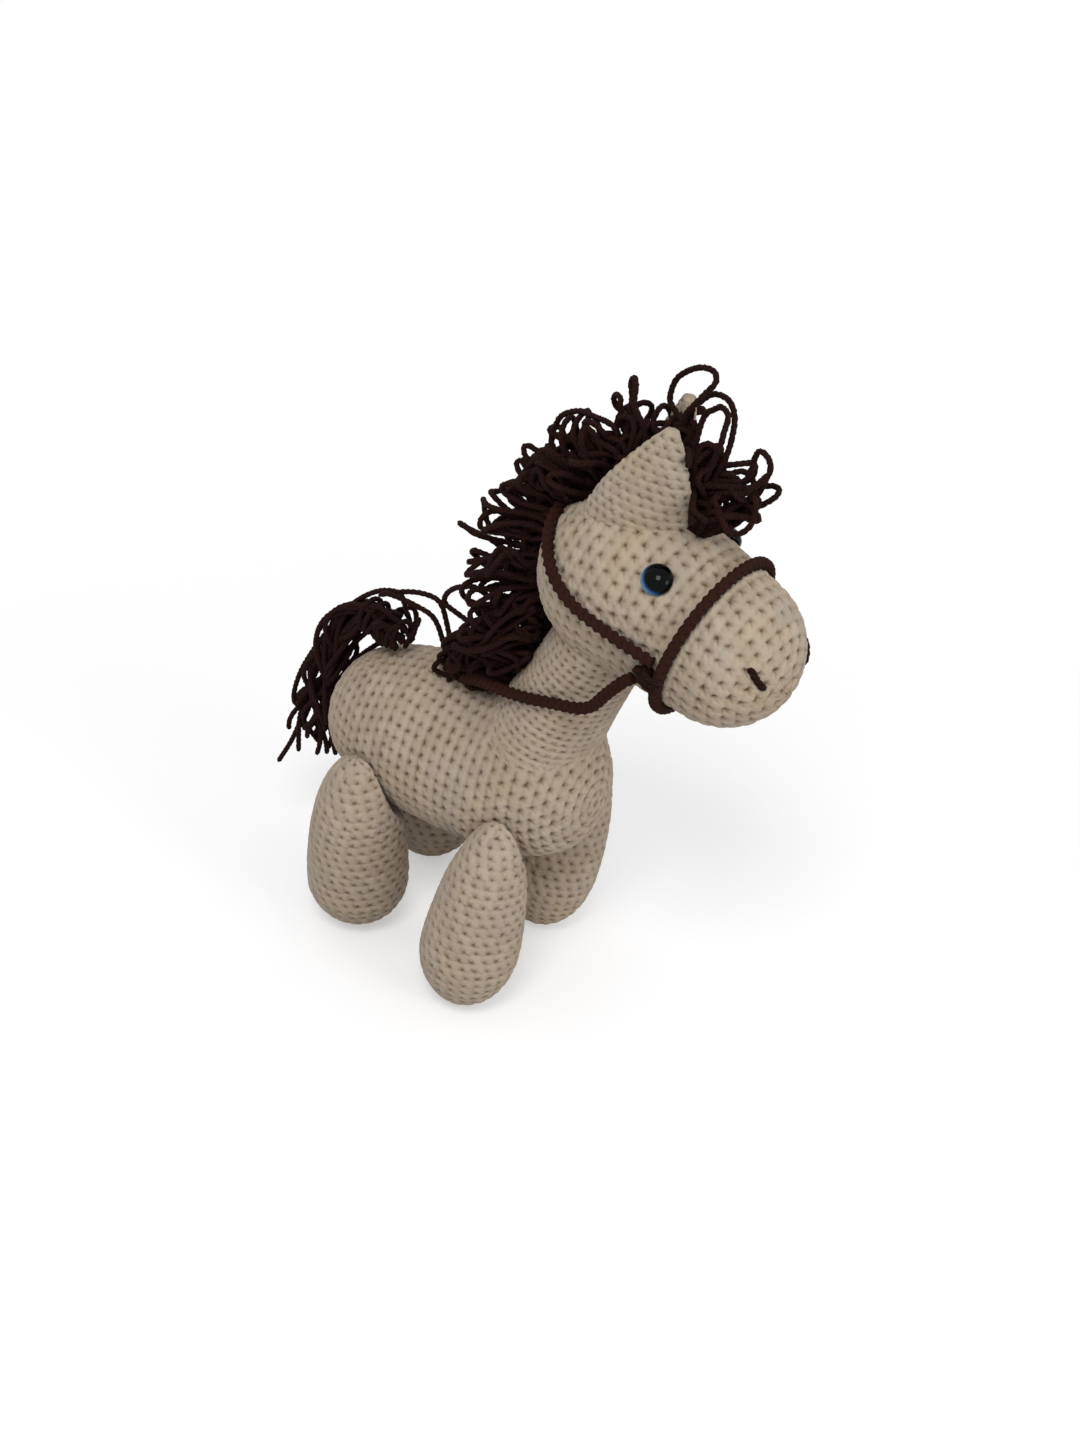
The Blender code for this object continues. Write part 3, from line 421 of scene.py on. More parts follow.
def carried(line, far, angle, directions):
    """Rings at the line's places: out by far, at each angle between the two directions."""
    side, over = directions
    angle = angle[None, :, None]
    round_it = np.cos(angle) * side[:, None] + np.sin(angle) * over[:, None]
    return line[:, None] + far[..., None] * round_it


def yarn(line, radius, columns=9):
    """A three-ply yarn along a line: ply centres go round the line once each twist."""
    ply = radius * PLY_SHARE
    turn = 2 * np.pi * (travel(line)[:, None] / PLY_TWIST + np.arange(3) / 3)
    centres = (radius - ply) * np.stack([np.cos(turn), np.sin(turn)], -1)
    far, angle = strand_outline(centres, ply, columns)
    far[[0, -1]] *= END_SHARE
    places = carried(line, far, angle, carried_frames(line))
    # The depth mark, low between the plies, is what the brown yarn's painted shade follows.
    return ring_mesh(places, {"depth": np.clip((far / radius - 0.62) / 0.38, 0, 1)})


def plait(line, width, up, columns=20, closed=False):
    """A chain-stitch cord: three strands swing across by a sine and over by its double.

    The strands are a third of a swing apart, so one is always on top. A closed cord has
    a whole number of swings.
    """
    run = travel(line)
    whole = run[-1] + (np.linalg.norm(line[0] - line[-1]) if closed else 0)
    swings = max(round(whole / (2 * CHAIN_STITCH)), 1)
    strand = width * STRAND_SHARE
    swing = 2 * np.pi * (swings * run[:, None] / whole + np.arange(3) / 3)
    across, over = (width / 2 - strand) * np.sin(swing), strand * 0.55 * np.sin(2 * swing)
    centres = np.stack([across, over], -1)
    far, angle = strand_outline(centres, strand, columns)
    if not closed:
        far[[0, -1]] *= END_SHARE
    places = carried(line, far, angle, frames(line, up, closed))
    # The depth mark, low between the strands, is what the brown yarn's painted shade follows.
    depth = np.clip((far / (width / 2) - 0.35) / 0.5, 0, 1)
    return ring_mesh(places, {"depth": depth}, closed=closed)

# %% [markdown]
# ## Brown yarn
# The mane, tail, halter and nostrils are one dark brown acrylic yarn. Its colour
# follows how deep a place lies: painted shade makes it almost black between its plies,
# and a painted highlight makes it warmer on top, where light would catch the fibres. A
# fine and a coarse noise break it up.

# %% Brown yarn material
# Spun acrylic dyed dark brown: matt, with painted shade between its plies and a
# painted highlight, a warmer reddish tinge, on top.
BROWN_YARN, tree = new_material("dark_brown_spun_acrylic")
fibre = noise(tree, 1.1, Detail=4.0, Roughness=0.65)
patch = noise(tree, 14.0, Detail=2.0)
shade = calc(tree, "ADD", spread(tree, fibre, 0.36), mark(tree, "depth"))
shade = calc(tree, "ADD", shade, spread(tree, patch, 0.30), clamp=True)
# Painted shade and highlight: the ramp runs from near black where the depth mark is low, between
# the plies, to a warmer brown on top.
colour = ramp(tree, shade, (0.0, "070302"), (0.55, "1C0C08"), (1.0, "30170F"))
principled(tree, fibre, 0.55, 0.5 * MM, Base_Color=colour, Roughness=0.92, Specular_IOR_Level=0.14)


def brown(name, body, meshes, *nodes):
    """A piece of brown yarn, the body it moves with and the solids it stands for."""
    return worn_by(piece(name, meshes, BROWN_YARN), body, "brown_yarn", *nodes)

# %% [markdown]
# ## Rein
# The rein is one limp cord that runs from the knot under the right cheek, back along the
# neck, over the withers and the same way forward on the left. Its far end is tied to the
# other knot, so it ends in the object. The points are those of the solid.

# %% Rein
# The cord's own width, and how much further its fibres reach.
CHAIN, FUZZ = 3.8 * MM, 1.2
REIN_RIGHT = np.array((
    (-35.1, -64.4, 179.6), (-34.6, -60.0, 175.5), (-32.2, -52.3, 165.2), (-30.3, -47.0, 157.5),
    (-29.0, -41.0, 153.0), (-28.0, -33.5, 150.5), (-27.2, -27.0, 148.6), (-26.4, -18.5, 146.2),
    (-24.7, -10.0, 143.8), (-21.7, -1.5, 141.2), (-16.5, 9.0, 137.2), (-11.5, 21.0, 132.0),
    (-5.8, 32.0, 128.8), (0.0, 36.5, 128.2),
)) * MM
rein_line = smooth_line(np.vstack([REIN_RIGHT, REIN_RIGHT[-2::-1] * (-1, 1, 1)]), 0.5 * MM)
rein_length = float(travel(rein_line)[-1])
rein = brown("rein_cord", "horse", [plait(rein_line, CHAIN * FUZZ, Z)], "rein")
print("rein:", round(rein_length / MM), "mm")

# %% [markdown]
# ## The forms of the stuffed pieces
# Each stuffed piece is nearly a form that a lathe could turn: a radius for each place
# along an axis. The body is a barrel whose ends are fuller than an ellipse, the chest
# more so. The head is two balls under one skin. The neck flares where it is sewn on. A
# leg is a ball with a taper above it. The numbers start from those of
# the solids and were then fitted to the picture.

# %% Forms
BODY_RADIUS = 35.1 * MM
BODY_MIDDLE = np.array((0.0, 22.5, 90.8)) * MM
RUMP_LENGTH, RUMP_FULLNESS = 64.9 * MM, 2.6
CHEST_LENGTH, CHEST_FULLNESS = 61.2 * MM, 2.9
CRANIUM_RADIUS, MUZZLE_RADIUS, MUZZLE_REACH = 34.6 * MM, 29.2 * MM, 46.4 * MM
CRANIUM = BODY_MIDDLE + np.array((0.0, -62.6, 107.0)) * MM
NOD, TURN = math.radians(14.2), math.radians(5.2)
LEVEL = math.cos(NOD)
HEAD_AHEAD = -np.array((math.sin(TURN) * LEVEL, math.cos(TURN) * LEVEL, math.sin(NOD)))
HEAD_SIDE = np.array((math.cos(TURN), -math.sin(TURN), 0.0))
HEAD_UP = np.cross(HEAD_AHEAD, HEAD_SIDE)
NECK_RADIUS, NECK_FLARE, NECK_LENGTH = 23.5 * MM, 7.0 * MM, 80.0 * MM
NECK_ROOT = BODY_MIDDLE + np.array((0.0, -28.4, 12.0)) * MM
NECK_LEAN, NECK_DEPTH = math.radians(23.0), 0.80
NECK_AXIS = np.array((0.0, -math.sin(NECK_LEAN), math.cos(NECK_LEAN)))
NECK_BACK = np.array((0.0, math.cos(NECK_LEAN), math.sin(NECK_LEAN)))
FOOT_FULLNESS = 2.0
PIVOT_HEIGHT, TOP_OVER_PIVOT, FOOT_HEIGHT = 77.0 * MM, 14.0 * MM, 21.2 * MM


def body_radius(y):
    """The barrel: one minus the share from its middle to a power, to the inverse power."""
    chest = y < BODY_MIDDLE[1]
    power = np.where(chest, CHEST_FULLNESS, RUMP_FULLNESS)
    share = np.clip(np.abs(y - BODY_MIDDLE[1]) / np.where(chest, CHEST_LENGTH, RUMP_LENGTH), 0, 1)
    return BODY_RADIUS * (1 - share**power) ** (1 / power)


def head_radius(along, grow=0.0):
    """Two balls under one skin: the cranium's circle, a straight cone, the muzzle's circle."""
    back, front = CRANIUM_RADIUS + grow, MUZZLE_RADIUS + grow
    slope = (CRANIUM_RADIUS - MUZZLE_RADIUS) / MUZZLE_REACH
    ball = np.sqrt(np.maximum(back**2 - along**2, 0))
    cone = (back - along * slope) / math.sqrt(1 - slope**2)
    nose = np.sqrt(np.maximum(front**2 - (along - MUZZLE_REACH) ** 2, 0))
    middle = np.where(along <= MUZZLE_REACH + front * slope, cone, nose)
    return np.where(along <= back * slope, ball, middle)


def head_surface(along, angle, lift=0.0):
    """Places on the head: angle 0 is its right side and a quarter turn its top."""
    along, angle = np.broadcast_arrays(np.asarray(along, float), angle)
    radius = head_radius(along, lift)[..., None]
    across = np.sin(angle)[..., None] * HEAD_UP - np.cos(angle)[..., None] * HEAD_SIDE
    return CRANIUM + radius * across + along[..., None] * HEAD_AHEAD


def neck_radius(height):
    """The neck: its upper radius plus a flare that grows as a square towards the body."""
    share = np.clip(height / NECK_LENGTH, 0, 1)
    return NECK_RADIUS + NECK_FLARE * (1 - share) ** 2


def leg_outline(tip, radius, middle, taper, rounding):
    """A row of (radius, height): an oval foot up to the widest place, then the taper.

    Below the middle one minus the share to a power, to the inverse power; above it one
    minus a power of the share, to another power.
    """
    low = np.sin(np.linspace(np.pi / 2, 0, 300))
    high = np.sin(np.linspace(0, np.pi / 2, 400))[1:]
    foot_radius = (1 - low**FOOT_FULLNESS) ** (1 / FOOT_FULLNESS) * radius
    leg_radius = (1 - high**taper) ** rounding * radius
    foot = np.column_stack([foot_radius, middle - low * (middle + FOOT_HEIGHT)])
    return np.vstack([foot, np.column_stack([leg_radius, middle + high * (tip - middle)])])


def beside_axis(p, origin, axis):
    """A place's height along an axis, and the arrow to it square from the axis."""
    q = p - origin
    height = q @ axis
    return height, q - height[..., None] * axis


def kept_out(p, room):
    """Places that lie in the body, neck or head, moved straight out to room above it.

    Each form has an origin, an axis, a radius, two ends, and its depth to its width.
    """
    for origin, axis, radius, ends, depth in (
        (BODY_MIDDLE, Y, lambda h: body_radius(h + BODY_MIDDLE[1]), (-60 * MM, 60 * MM), 1.0),
        (NECK_ROOT, NECK_AXIS, neck_radius, (0.0, NECK_LENGTH), NECK_DEPTH),
        (CRANIUM, HEAD_AHEAD, head_radius, (-CRANIUM_RADIUS, 70 * MM), 1.0),
    ):
        height, across = beside_axis(p, origin, axis)
        wide = (across @ X) ** 2
        far = np.sqrt(wide + (np.linalg.norm(across, axis=-1) ** 2 - wide) / depth**2)
        short = np.where((height > ends[0]) & (height < ends[1]), radius(height) + room - far, 0)
        p = p + across / np.maximum(far, 1e-6)[..., None] * np.maximum(short, 0)[..., None]
    return p


def crossing(low, high, outside):
    """Where outside turns from below to above zero, by halving the way again and again."""
    for _ in range(26):
        middle = (low + high) / 2
        out = outside(middle) > 0
        low, high = np.where(out, low, middle), np.where(out, middle, high)
    return (low + high) / 2


print("top of the head:", np.round(head_surface(0.0, math.pi / 2) / MM, 1))

# %% [markdown]
# ## Single crochet as a relief
# Worked round and pulled tight, a single crochet stitch is a plump bead: two legs of yarn
# that leave one hole together and lie close side by side, with the next round's stitch
# standing on top. A round shows as a soft rib, and where four beads meet, a small dark
# hole stays open. A bump map could only pretend this, and would look flat at the
# outline. So the skins are fine grids, and each place on them is lifted by the height of
# the yarn there. Each round holds a whole number of stitches, so it gains and loses some
# as the toy swells and narrows.

# %% Stitch relief
HOLE_DEPTH, HOLE_LENGTH, HOLE_WIDTH = 0.68, 0.30, 0.11
ARM_DEPTH, ARM_WIDTH, CREASE_DEPTH, CREASE_WIDTH = 0.44, 0.10, 0.12, 0.08
DIP_POWER, REST_HEIGHT = 2.6, 0.8


def scattered(a, b, seed):
    """An even-looking number from 0 to 1 for each pair: the tail of a large sine."""
    wave = np.sin(a * 12.9898 + b * 78.233 + seed * 37.719) * 43758.5453
    return wave - np.floor(wave)


def smooth_step(low, high, v):
    """0 below low, 1 above high, and three squares less two cubes of the share between."""
    share = np.clip((v - low) / (high - low), 0, 1)
    return share * share * (3 - 2 * share)


def crochet(turn, rounds, counts, lean, dips):
    """Height of the yarn, 0 in a hole and 1 on a stitch, and the stitch's own random tone.

    In round k a place is x stitches across from a stitch's middle line and y rounds up.
    The first of dips is how deep the yarn dips between two rounds, by a power of how far
    y is from the round's middle; the second is the same between two columns; the third is
    the slant of the holes. The two legs of a stitch part at a faint crease. A hole is a
    long bell curve that slants across each corner, and two short arms rise from it along
    the feet of the stitches beside it. Three random numbers vary each hole a little.
    """
    first = np.floor(rounds)
    hole = 0.0
    for k in (first + 1, first):
        n = counts[np.clip(k, 0, len(counts) - 1).astype(int)]
        y = rounds - k
        x = turn * n + lean * (rounds - 0.5)
        number = np.mod(np.floor(x), n)
        jitter = [scattered(number, k, seed) - 0.5 for seed in (1, 2, 3)]
        x = x - np.floor(x) - 0.5 + 0.09 * jitter[0]
        edge, beside = 0.5 - np.abs(x), x - 0.5 * np.sign(x)
        size, slant = 1 + 0.7 * jitter[2], dips[2] + jitter[0]
        up = y - 0.03 + 0.12 * jitter[1]
        along = (beside * np.cos(slant) + up * np.sin(slant)) / (HOLE_LENGTH * size)
        across = (up * np.cos(slant) - beside * np.sin(slant)) / (HOLE_WIDTH * size)
        rising = smooth_step(-0.1, 0.1, y) * (1 - smooth_step(0.25, 0.7, y))
        arms = ARM_DEPTH * size * np.exp(-(((edge - 0.5 * y) / ARM_WIDTH) ** 2)) * rising
        hole = np.maximum(hole, np.maximum(HOLE_DEPTH * np.exp(-(along**2) - across**2), arms))
    rib = dips[0] * np.abs(2 * y - 1) ** DIP_POWER + dips[1] * np.abs(2 * x) ** DIP_POWER
    crease = CREASE_DEPTH * np.exp(-((x / CREASE_WIDTH) ** 2)) * smooth_step(0.25, 0.8, y)
    height = np.clip(1 - rib - crease - hole + 0.12 * jitter[1], 0, 1)
    return height, scattered(number, k, 4)


def outward(places):
    """The outward directions of a grid of rings: the cross product of its two slopes."""
    round_it = np.roll(places, -1, 1) - np.roll(places, 1, 1)
    normal = unit(np.cross(round_it, np.gradient(places, axis=0)))
    return normal * np.sign(np.sum(normal * (places - places.mean(1, keepdims=True))))


def crochet_skin(
    outline, place, stitch, depth, lean, dips, form=None, fit=None, lump=0.5 * MM, seed=0,
    fine=0.57 * MM,
):
    """A stuffed crocheted piece turned about an axis, with its stitches in relief.

    outline is a fine row of (radius, height); place is the origin, the axis and a side
    direction; stitch is its width and its round's height. form may swell the plain form.
    Each place moves out by the relief and by a slow wave that stands for the stuffing.
    fit may then move the places, so that they rest on what the piece touches.
    """
    origin, axis, side = place
    ahead = np.cross(axis, side)
    run = travel(outline)
    rows = int(run[-1] / fine)
    at = (np.arange(rows) + 0.5) / rows * run[-1]
    radius, height = (np.interp(at, run, outline[:, i])[:, None, None] for i in (0, 1))
    columns = int(2 * np.pi * radius.max() / fine)
    turn = np.arange(columns)[None] / columns
    rounds = np.broadcast_to((at / stitch[1])[:, None], (rows, columns))
    middles = (np.arange(int(run[-1] / stitch[1]) + 2) + 0.5) * stitch[1]
    girths = 2 * np.pi * np.interp(middles, run, outline[:, 0])
    counts = np.maximum(np.round(girths / stitch[0]), 6)
    relief, tone = crochet(turn, rounds, counts, lean, dips)
    angle = 2 * np.pi * turn[..., None]
    base = origin + radius * (np.cos(angle) * side + np.sin(angle) * ahead) + height * axis
    if form is not None:
        base = form(base)
    wave = np.sin(base / MM / (11, 13, 9) + np.array((1, 2, 3)) * seed).sum(-1) / 3
    places = base + (depth * (relief - REST_HEIGHT) + lump * wave)[..., None] * outward(base)
    tops = outline[[0, -1], 1]
    ends = origin + (tops - np.sign(tops) * depth * 0.3)[:, None] * axis
    if fit is not None:
        places, ends = fit(places), fit(ends)
    # The depth mark, low in the holes, is what the cream yarn's painted shade follows.
    return ring_mesh(places, {"depth": relief, "tone": tone}, tips=ends)

# %% [markdown]
# ## Cream yarn
# The skin is a cream cotton blend, spun a little fuzzy. Its holes between stitches are
# painted darker as painted shade, brown and not grey, as light that goes into the yarn
# comes out warmer. Each stitch has its own slightly different tone. The colour follows
# the relief and a number that each stitch carries, and a fine noise of the width of a
# few fibres roughens it.

# %% Cream yarn material
# How full each piece is stuffed: body, head and legs firmly, the ears hardly at all.
FIRM, NECK_FILL, EAR_FILL = 0.85, 0.8, 0.3

# Cream cotton blend: matt and slightly fuzzy, each stitch of its own tone, with faint
# patches that are a little paler or warmer, and painted shade, darker and browner, in
# its holes.
CREAM_YARN, tree = new_material("cream_cotton_blend_yarn")
fibre = noise(tree, 1.7, Detail=5.0, Roughness=0.7)
pale, warm = noise(tree, 30.0, Detail=3.0), noise(tree, 19.0, Detail=2.0)
# Painted shade: the ramp makes the yarn darker and browner where the depth mark is low, in the
# holes between stitches.
shade = calc(tree, "ADD", mark(tree, "depth"), spread(tree, fibre, 0.5), clamp=True)
tone = spread(tree, mark(tree, "tone"), 0.14, 1.0)
colour = add(
    tree, "HueSaturation", Hue=0.5, Saturation=spread(tree, warm, 0.6, 1.0),
    Value=calc(tree, "MULTIPLY", tone, spread(tree, pale, 0.24, 1.0)),
    Color=ramp(tree, shade, (0.0, "66553F"), (0.42, "A08E79"), (0.85, "B1A18D")),
)
principled(
    tree, fibre, 0.8, 0.5 * MM, Base_Color=colour, Roughness=0.95, Specular_IOR_Level=0.2,
    Sheen_Weight=0.08, Sheen_Roughness=0.6,
)


def stuffed(name, body, skin, fill, *nodes):
    """A stuffed piece of cream yarn, its body and the solids it stands for; fill is not used."""
    made = worn_by(piece(f"{name}_crochet", [skin], CREAM_YARN), body, "cream_yarn", *nodes)

# %% [markdown]
# ## Body
# The maker works the body and the foot of the neck in one, so there is no corner between
# them. Two solids joined would show one. So the barrel's grid is swollen: each place goes
# out along its line from the middle to where a leaning stub of a neck ends, where that is
# further than the barrel. Near where both are equal the two are blended.

# %% Body
STUB_TOP, STUB_UNDER, STUB_DOME, STUB_FOOT = (v * MM for v in (40.0, 0.9, 9.0, -28.0))
STUB_BLEND, CHEST_START = 11 * MM, -10.0 * MM
CHEST_POWER, RUMP_POWER = 2 / CHEST_FULLNESS, 2 / RUMP_FULLNESS


def outside_stub(p):
    """How far a place is outside the neck's stub, whose top closes in a flat dome."""
    height, across = beside_axis(p, NECK_ROOT, NECK_AXIS)
    radius = neck_radius(height) - STUB_UNDER
    near_top = np.clip((height - STUB_TOP + STUB_DOME) / STUB_DOME, 0, 1)
    far = np.hypot(across @ X, across @ NECK_BACK / NECK_DEPTH)
    return np.where(height < STUB_FOOT, MM, far - radius * (1 - near_top**3) ** (1 / 3))


def chest(base):
    """The barrel's places moved out to the stub: the larger reach, plus a blend.

    The blend is the square of what the two reaches' difference leaves of the blend
    length, over four times that length.
    """
    start = np.zeros_like(base)
    start[..., 1] = np.maximum(base[..., 1], CHEST_START)
    start[..., 2] = BODY_MIDDLE[2]
    barrel = np.linalg.norm(base - start, axis=-1)
    ray = (base - start) / barrel[..., None]
    low, high = np.zeros_like(barrel), np.full_like(barrel, 80 * MM)
    stub = crossing(low, high, lambda t: outside_stub(start + t[..., None] * ray))
    near = np.maximum(STUB_BLEND - np.abs(barrel - stub), 0)
    return start + (np.maximum(barrel, stub) + near**2 / (4 * STUB_BLEND))[..., None] * ray


arc = np.linspace(0, np.pi / 2, 500)
rising, falling = np.sin(arc), np.cos(arc)
chest_line = np.column_stack([rising**CHEST_POWER, falling**CHEST_POWER])
rump_line = np.column_stack([falling**RUMP_POWER, rising**RUMP_POWER])
chest_line = chest_line * (BODY_RADIUS, -CHEST_LENGTH)
rump_line = rump_line * (BODY_RADIUS, RUMP_LENGTH)
body_line = np.vstack([chest_line, rump_line[1:]])[::-1]
body_skin = crochet_skin(
    body_line, (BODY_MIDDLE, Y, X), (5.6 * MM, 4.7 * MM), 1.9 * MM, 0.14, (0.46, 0.18, 0.8),
    form=chest, fine=0.63 * MM,
)
stuffed("body", "horse", body_skin, FIRM, "body_skin", "body_stuffing")

# %% [markdown]
# ## Head
# The head starts as a flat round at the back of the skull, grows to the width of the
# cheeks, narrows a little and closes over the muzzle. A straight cone joins the two balls
# where it touches both, so the outline is two arcs and never dips.

# %% Head
meet = math.acos(-(CRANIUM_RADIUS - MUZZLE_RADIUS) / MUZZLE_REACH)
back_arc, front_arc = np.linspace(0, meet, 500), np.linspace(meet, np.pi, 500)
head_line = np.vstack([
    radius * np.column_stack([np.sin(arc), -np.cos(arc)]) + (0, ahead)
    for radius, ahead, arc in (
        (CRANIUM_RADIUS, 0, back_arc), (MUZZLE_RADIUS, MUZZLE_REACH, front_arc),
    )
])
head_skin = crochet_skin(
    head_line, (CRANIUM, HEAD_AHEAD, HEAD_SIDE), (6.1 * MM, 5.2 * MM), 1.8 * MM, -0.24,
    (0.30, 0.28, -0.6), seed=1,
)
stuffed("head", "horse", head_skin, FIRM, "head_skin", "head_stuffing")

# %% [markdown]
# ## Neck
# The neck is a tube between two round forms. Cut straight, it would float over one side
# of the head and dig into the other. So each column of its grid runs from inside the
# body's stub up to where it meets the head. Its lower rounds lie just over the stub, and
# go under the skin of the body where that swells out to the back.

# %% Neck
NECK_START, NECK_RELIEF = 12.0 * MM, 1.4 * MM
NECK_STITCH = (5.2 * MM, 3.4 * MM)
neck_columns, neck_rows = 300, 125
neck_angle = 2 * np.pi * np.arange(neck_columns) / neck_columns
neck_out = np.cos(neck_angle)[:, None] * X + NECK_DEPTH * np.sin(neck_angle)[:, None] * NECK_BACK


def neck_place(height):
    """A place on the neck's tube."""
    return NECK_ROOT + height[..., None] * NECK_AXIS + neck_radius(height)[..., None] * neck_out


def outside_head(p):
    """How far a place is outside the head, measured square to its axis."""
    along, across = beside_axis(p, CRANIUM, HEAD_AHEAD)
    return np.linalg.norm(across, axis=-1) - head_radius(along)


low, high = np.full(neck_columns, 32 * MM), np.full(neck_columns, 88 * MM)
neck_top = crossing(low, high, lambda h: -outside_head(neck_place(h)))
heights = NECK_START + np.linspace(0, 1.02, neck_rows)[:, None] * (neck_top - NECK_START)
girths = 2 * np.pi * neck_radius((np.arange(30) + 0.5) * NECK_STITCH[1])
relief, tone = crochet(
    neck_angle[None] / (2 * np.pi), heights / NECK_STITCH[1], np.round(girths / NECK_STITCH[0]),
    -0.14, (0.34, 0.20, -0.4),
)
neck_places = neck_place(heights) + (NECK_RELIEF * (relief - REST_HEIGHT))[..., None] * neck_out
neck_skin = ring_mesh(neck_places, {"depth": relief, "tone": tone})
stuffed("neck", "horse", neck_skin, NECK_FILL, "neck_skin", "neck_stuffing")

# %% [markdown]
# ## Legs
# A leg is worked from the foot up and narrows to a rounded tip that is threaded to the
# body. Its inner side is pressed flat against the flank. The legs swing, so that side
# keeps clear of the flank not only at rest but wherever the swing takes it: each place
# stays outside the furthest that the flank comes on the arc that the place travels. The
# top leans forward, as the thread pulls it.

# %% Legs
SWINGS = {"front": (-10.0, 45.0), "hind": (-45.0, 10.0)}
LEGS = {
    "leg_front_right": ((-39.6, -8.8), (-34.88, -9.0), "front"),
    "leg_front_left": ((24.9, -7.0), (34.88, -9.0), "front"),
    "leg_hind_right": ((-25.3, 57.8), (-33.51, 60.0), "hind"),
    "leg_hind_left": ((34.3, 61.0), (33.51, 60.0), "hind"),
}
FLANK_ROOM, FLANK_BLEND = 1.2 * MM, 1.4 * MM
# Widest radius, where above the ball's middle, taper, rounding, how far the top is ahead.
SHAPES = {
    "front": (20.6 * MM, 7.0 * MM, 1.7, 0.52, 6.0 * MM),
    "hind": (21.6 * MM, 3.0 * MM, 2.2, 0.48, 6.5 * MM),
}


def flank_reach(pivot_y, swing):
    """How far out the flank comes at a distance from the pivot and a turn from straight
    down, the furthest over the whole swing, as a table of whole millimetres and degrees.
    """
    distance, turn = np.arange(81)[:, None] * MM, np.radians(np.arange(-180, 180))
    y, z = pivot_y - distance * np.sin(turn), PIVOT_HEIGHT - distance * np.cos(turn)
    half = np.sqrt(np.maximum(body_radius(y) ** 2 - (z - BODY_MIDDLE[2]) ** 2, 0))
    low, high = (int(v) for v in swing)
    return np.max([np.roll(half, -step, 1) for step in range(low, high + 1)], axis=0)


def leg_fit(pivot, side, swing):
    """Keeps a leg's places outside the flank's reach, and above the floor.

    Near the reach a place bends off softly: the reach plus a blend length times the
    logarithm of one plus the power of e of how many such lengths it is outside.
    """
    reach = flank_reach(pivot[1], swing) + FLANK_ROOM

    def fit(p):
        y, z = pivot[1] - p[..., 1], pivot[2] - p[..., 2]
        away, turn = np.minimum(np.hypot(y, z) / MM, 79.0), np.degrees(np.arctan2(y, z)) + 180
        i, j = away.astype(int), np.minimum(turn.astype(int), 359)
        u, v, beside = away - i, turn - j, (j + 1) % 360
        least = (reach[i, j] * (1 - v) + reach[i, beside] * v) * (1 - u)
        least = least + (reach[i + 1, j] * (1 - v) + reach[i + 1, beside] * v) * u
        p = p.copy()
        outside = (side * p[..., 0] - least) / FLANK_BLEND
        p[..., 0] = side * (least + FLANK_BLEND * np.logaddexp(0, outside))
        p[..., 2] = np.maximum(p[..., 2], 0)
        return p

    return fit


for number, (name, (foot_xy, pivot_xy, pair)) in enumerate(LEGS.items()):
    foot = np.array((foot_xy[0] * MM, foot_xy[1] * MM, FOOT_HEIGHT))
    pivot = np.array((pivot_xy[0] * MM, pivot_xy[1] * MM, PIVOT_HEIGHT))
    axis = unit(pivot - foot)
    tip = np.linalg.norm(pivot - foot) + TOP_OVER_PIVOT
    radius, middle, taper, rounding, ahead = SHAPES[pair]
    leg_skin = crochet_skin(
        leg_outline(tip, radius, middle, taper, rounding),
        (foot, axis, unit(X - axis * (X @ axis))),
        (5.4 * MM, 4.3 * MM), 1.3 * MM, 0.40, (0.16, 0.34, 0.0),
        form=lambda p: p - Y * ahead * (np.maximum((p - foot) @ axis, 0) / tip)[..., None] ** 1.2,
        fit=leg_fit(pivot, np.sign(foot[0]), SWINGS[pair]), lump=0.4 * MM, seed=number + 2,
    )
    stuffed(name, name, leg_skin, FIRM, f"{name}_skin", f"{name}_stuffing")

# %% [markdown]
# ## Ears
# An ear is a small flat cone, cupped forwards, with its open foot sewn round on the
# head. It is worked like the rest, so it has the same stitches, only smaller. Its grid
# has columns round the flattened cone, and rows from the head's surface to the tip.

# %% Ears
EAR_WIDTH, EAR_TIP, EAR_THICK, EAR_HEIGHT, EAR_SINK = (v * MM for v in (39.5, 5.0, 9.5, 39.0, 14.0))
EAR_CUP, EAR_TAPER, EAR_OUT, EAR_ALONG = 6.5 * MM, 2.1, 12.5 * MM, -0.3 * MM
EAR_TURN = math.radians(61.0)
EAR_STITCH, EAR_RELIEF = (4.2 * MM, 3.6 * MM), 1.0 * MM
EARS = {"ear_right": (-1.0, 0.0), "ear_left": (1.0, math.radians(11.0))}


def ear_width(share):
    """The ear narrows from foot to tip by a power of the share of its height."""
    return EAR_TIP + (EAR_WIDTH - EAR_TIP) * (1 - share**EAR_TAPER)


def ear_frame(side, lean_back):
    """An ear's foot in the head, the directions along its width and up it, and its face."""
    foot = CRANIUM + HEAD_SIDE * side * EAR_OUT + HEAD_AHEAD * EAR_ALONG
    foot = foot + HEAD_UP * (math.sqrt(head_radius(EAR_ALONG) ** 2 - EAR_OUT**2) - EAR_SINK)
    along = HEAD_AHEAD * math.sin(EAR_TURN) - HEAD_SIDE * side * math.cos(EAR_TURN)
    lean = HEAD_UP * math.cos(lean_back) - HEAD_AHEAD * math.sin(lean_back)
    return foot, along, lean, unit(np.cross(along, lean)) * side


def ear_place(side, lean_back, share, angle):
    """A place on the ear: a flat ring that narrows with height and bends by a square."""
    foot, along, lean, face = ear_frame(side, lean_back)
    thick = EAR_TIP + (EAR_THICK - EAR_TIP) * (1 - share)
    across = ear_width(share) / 2 * np.cos(angle)
    out = thick / 2 * np.sin(angle) + EAR_CUP * (1 - share) * (2 * across / EAR_WIDTH) ** 2
    up = (EAR_HEIGHT + EAR_SINK) * share
    return foot + across[..., None] * along + out[..., None] * face + up[..., None] * lean
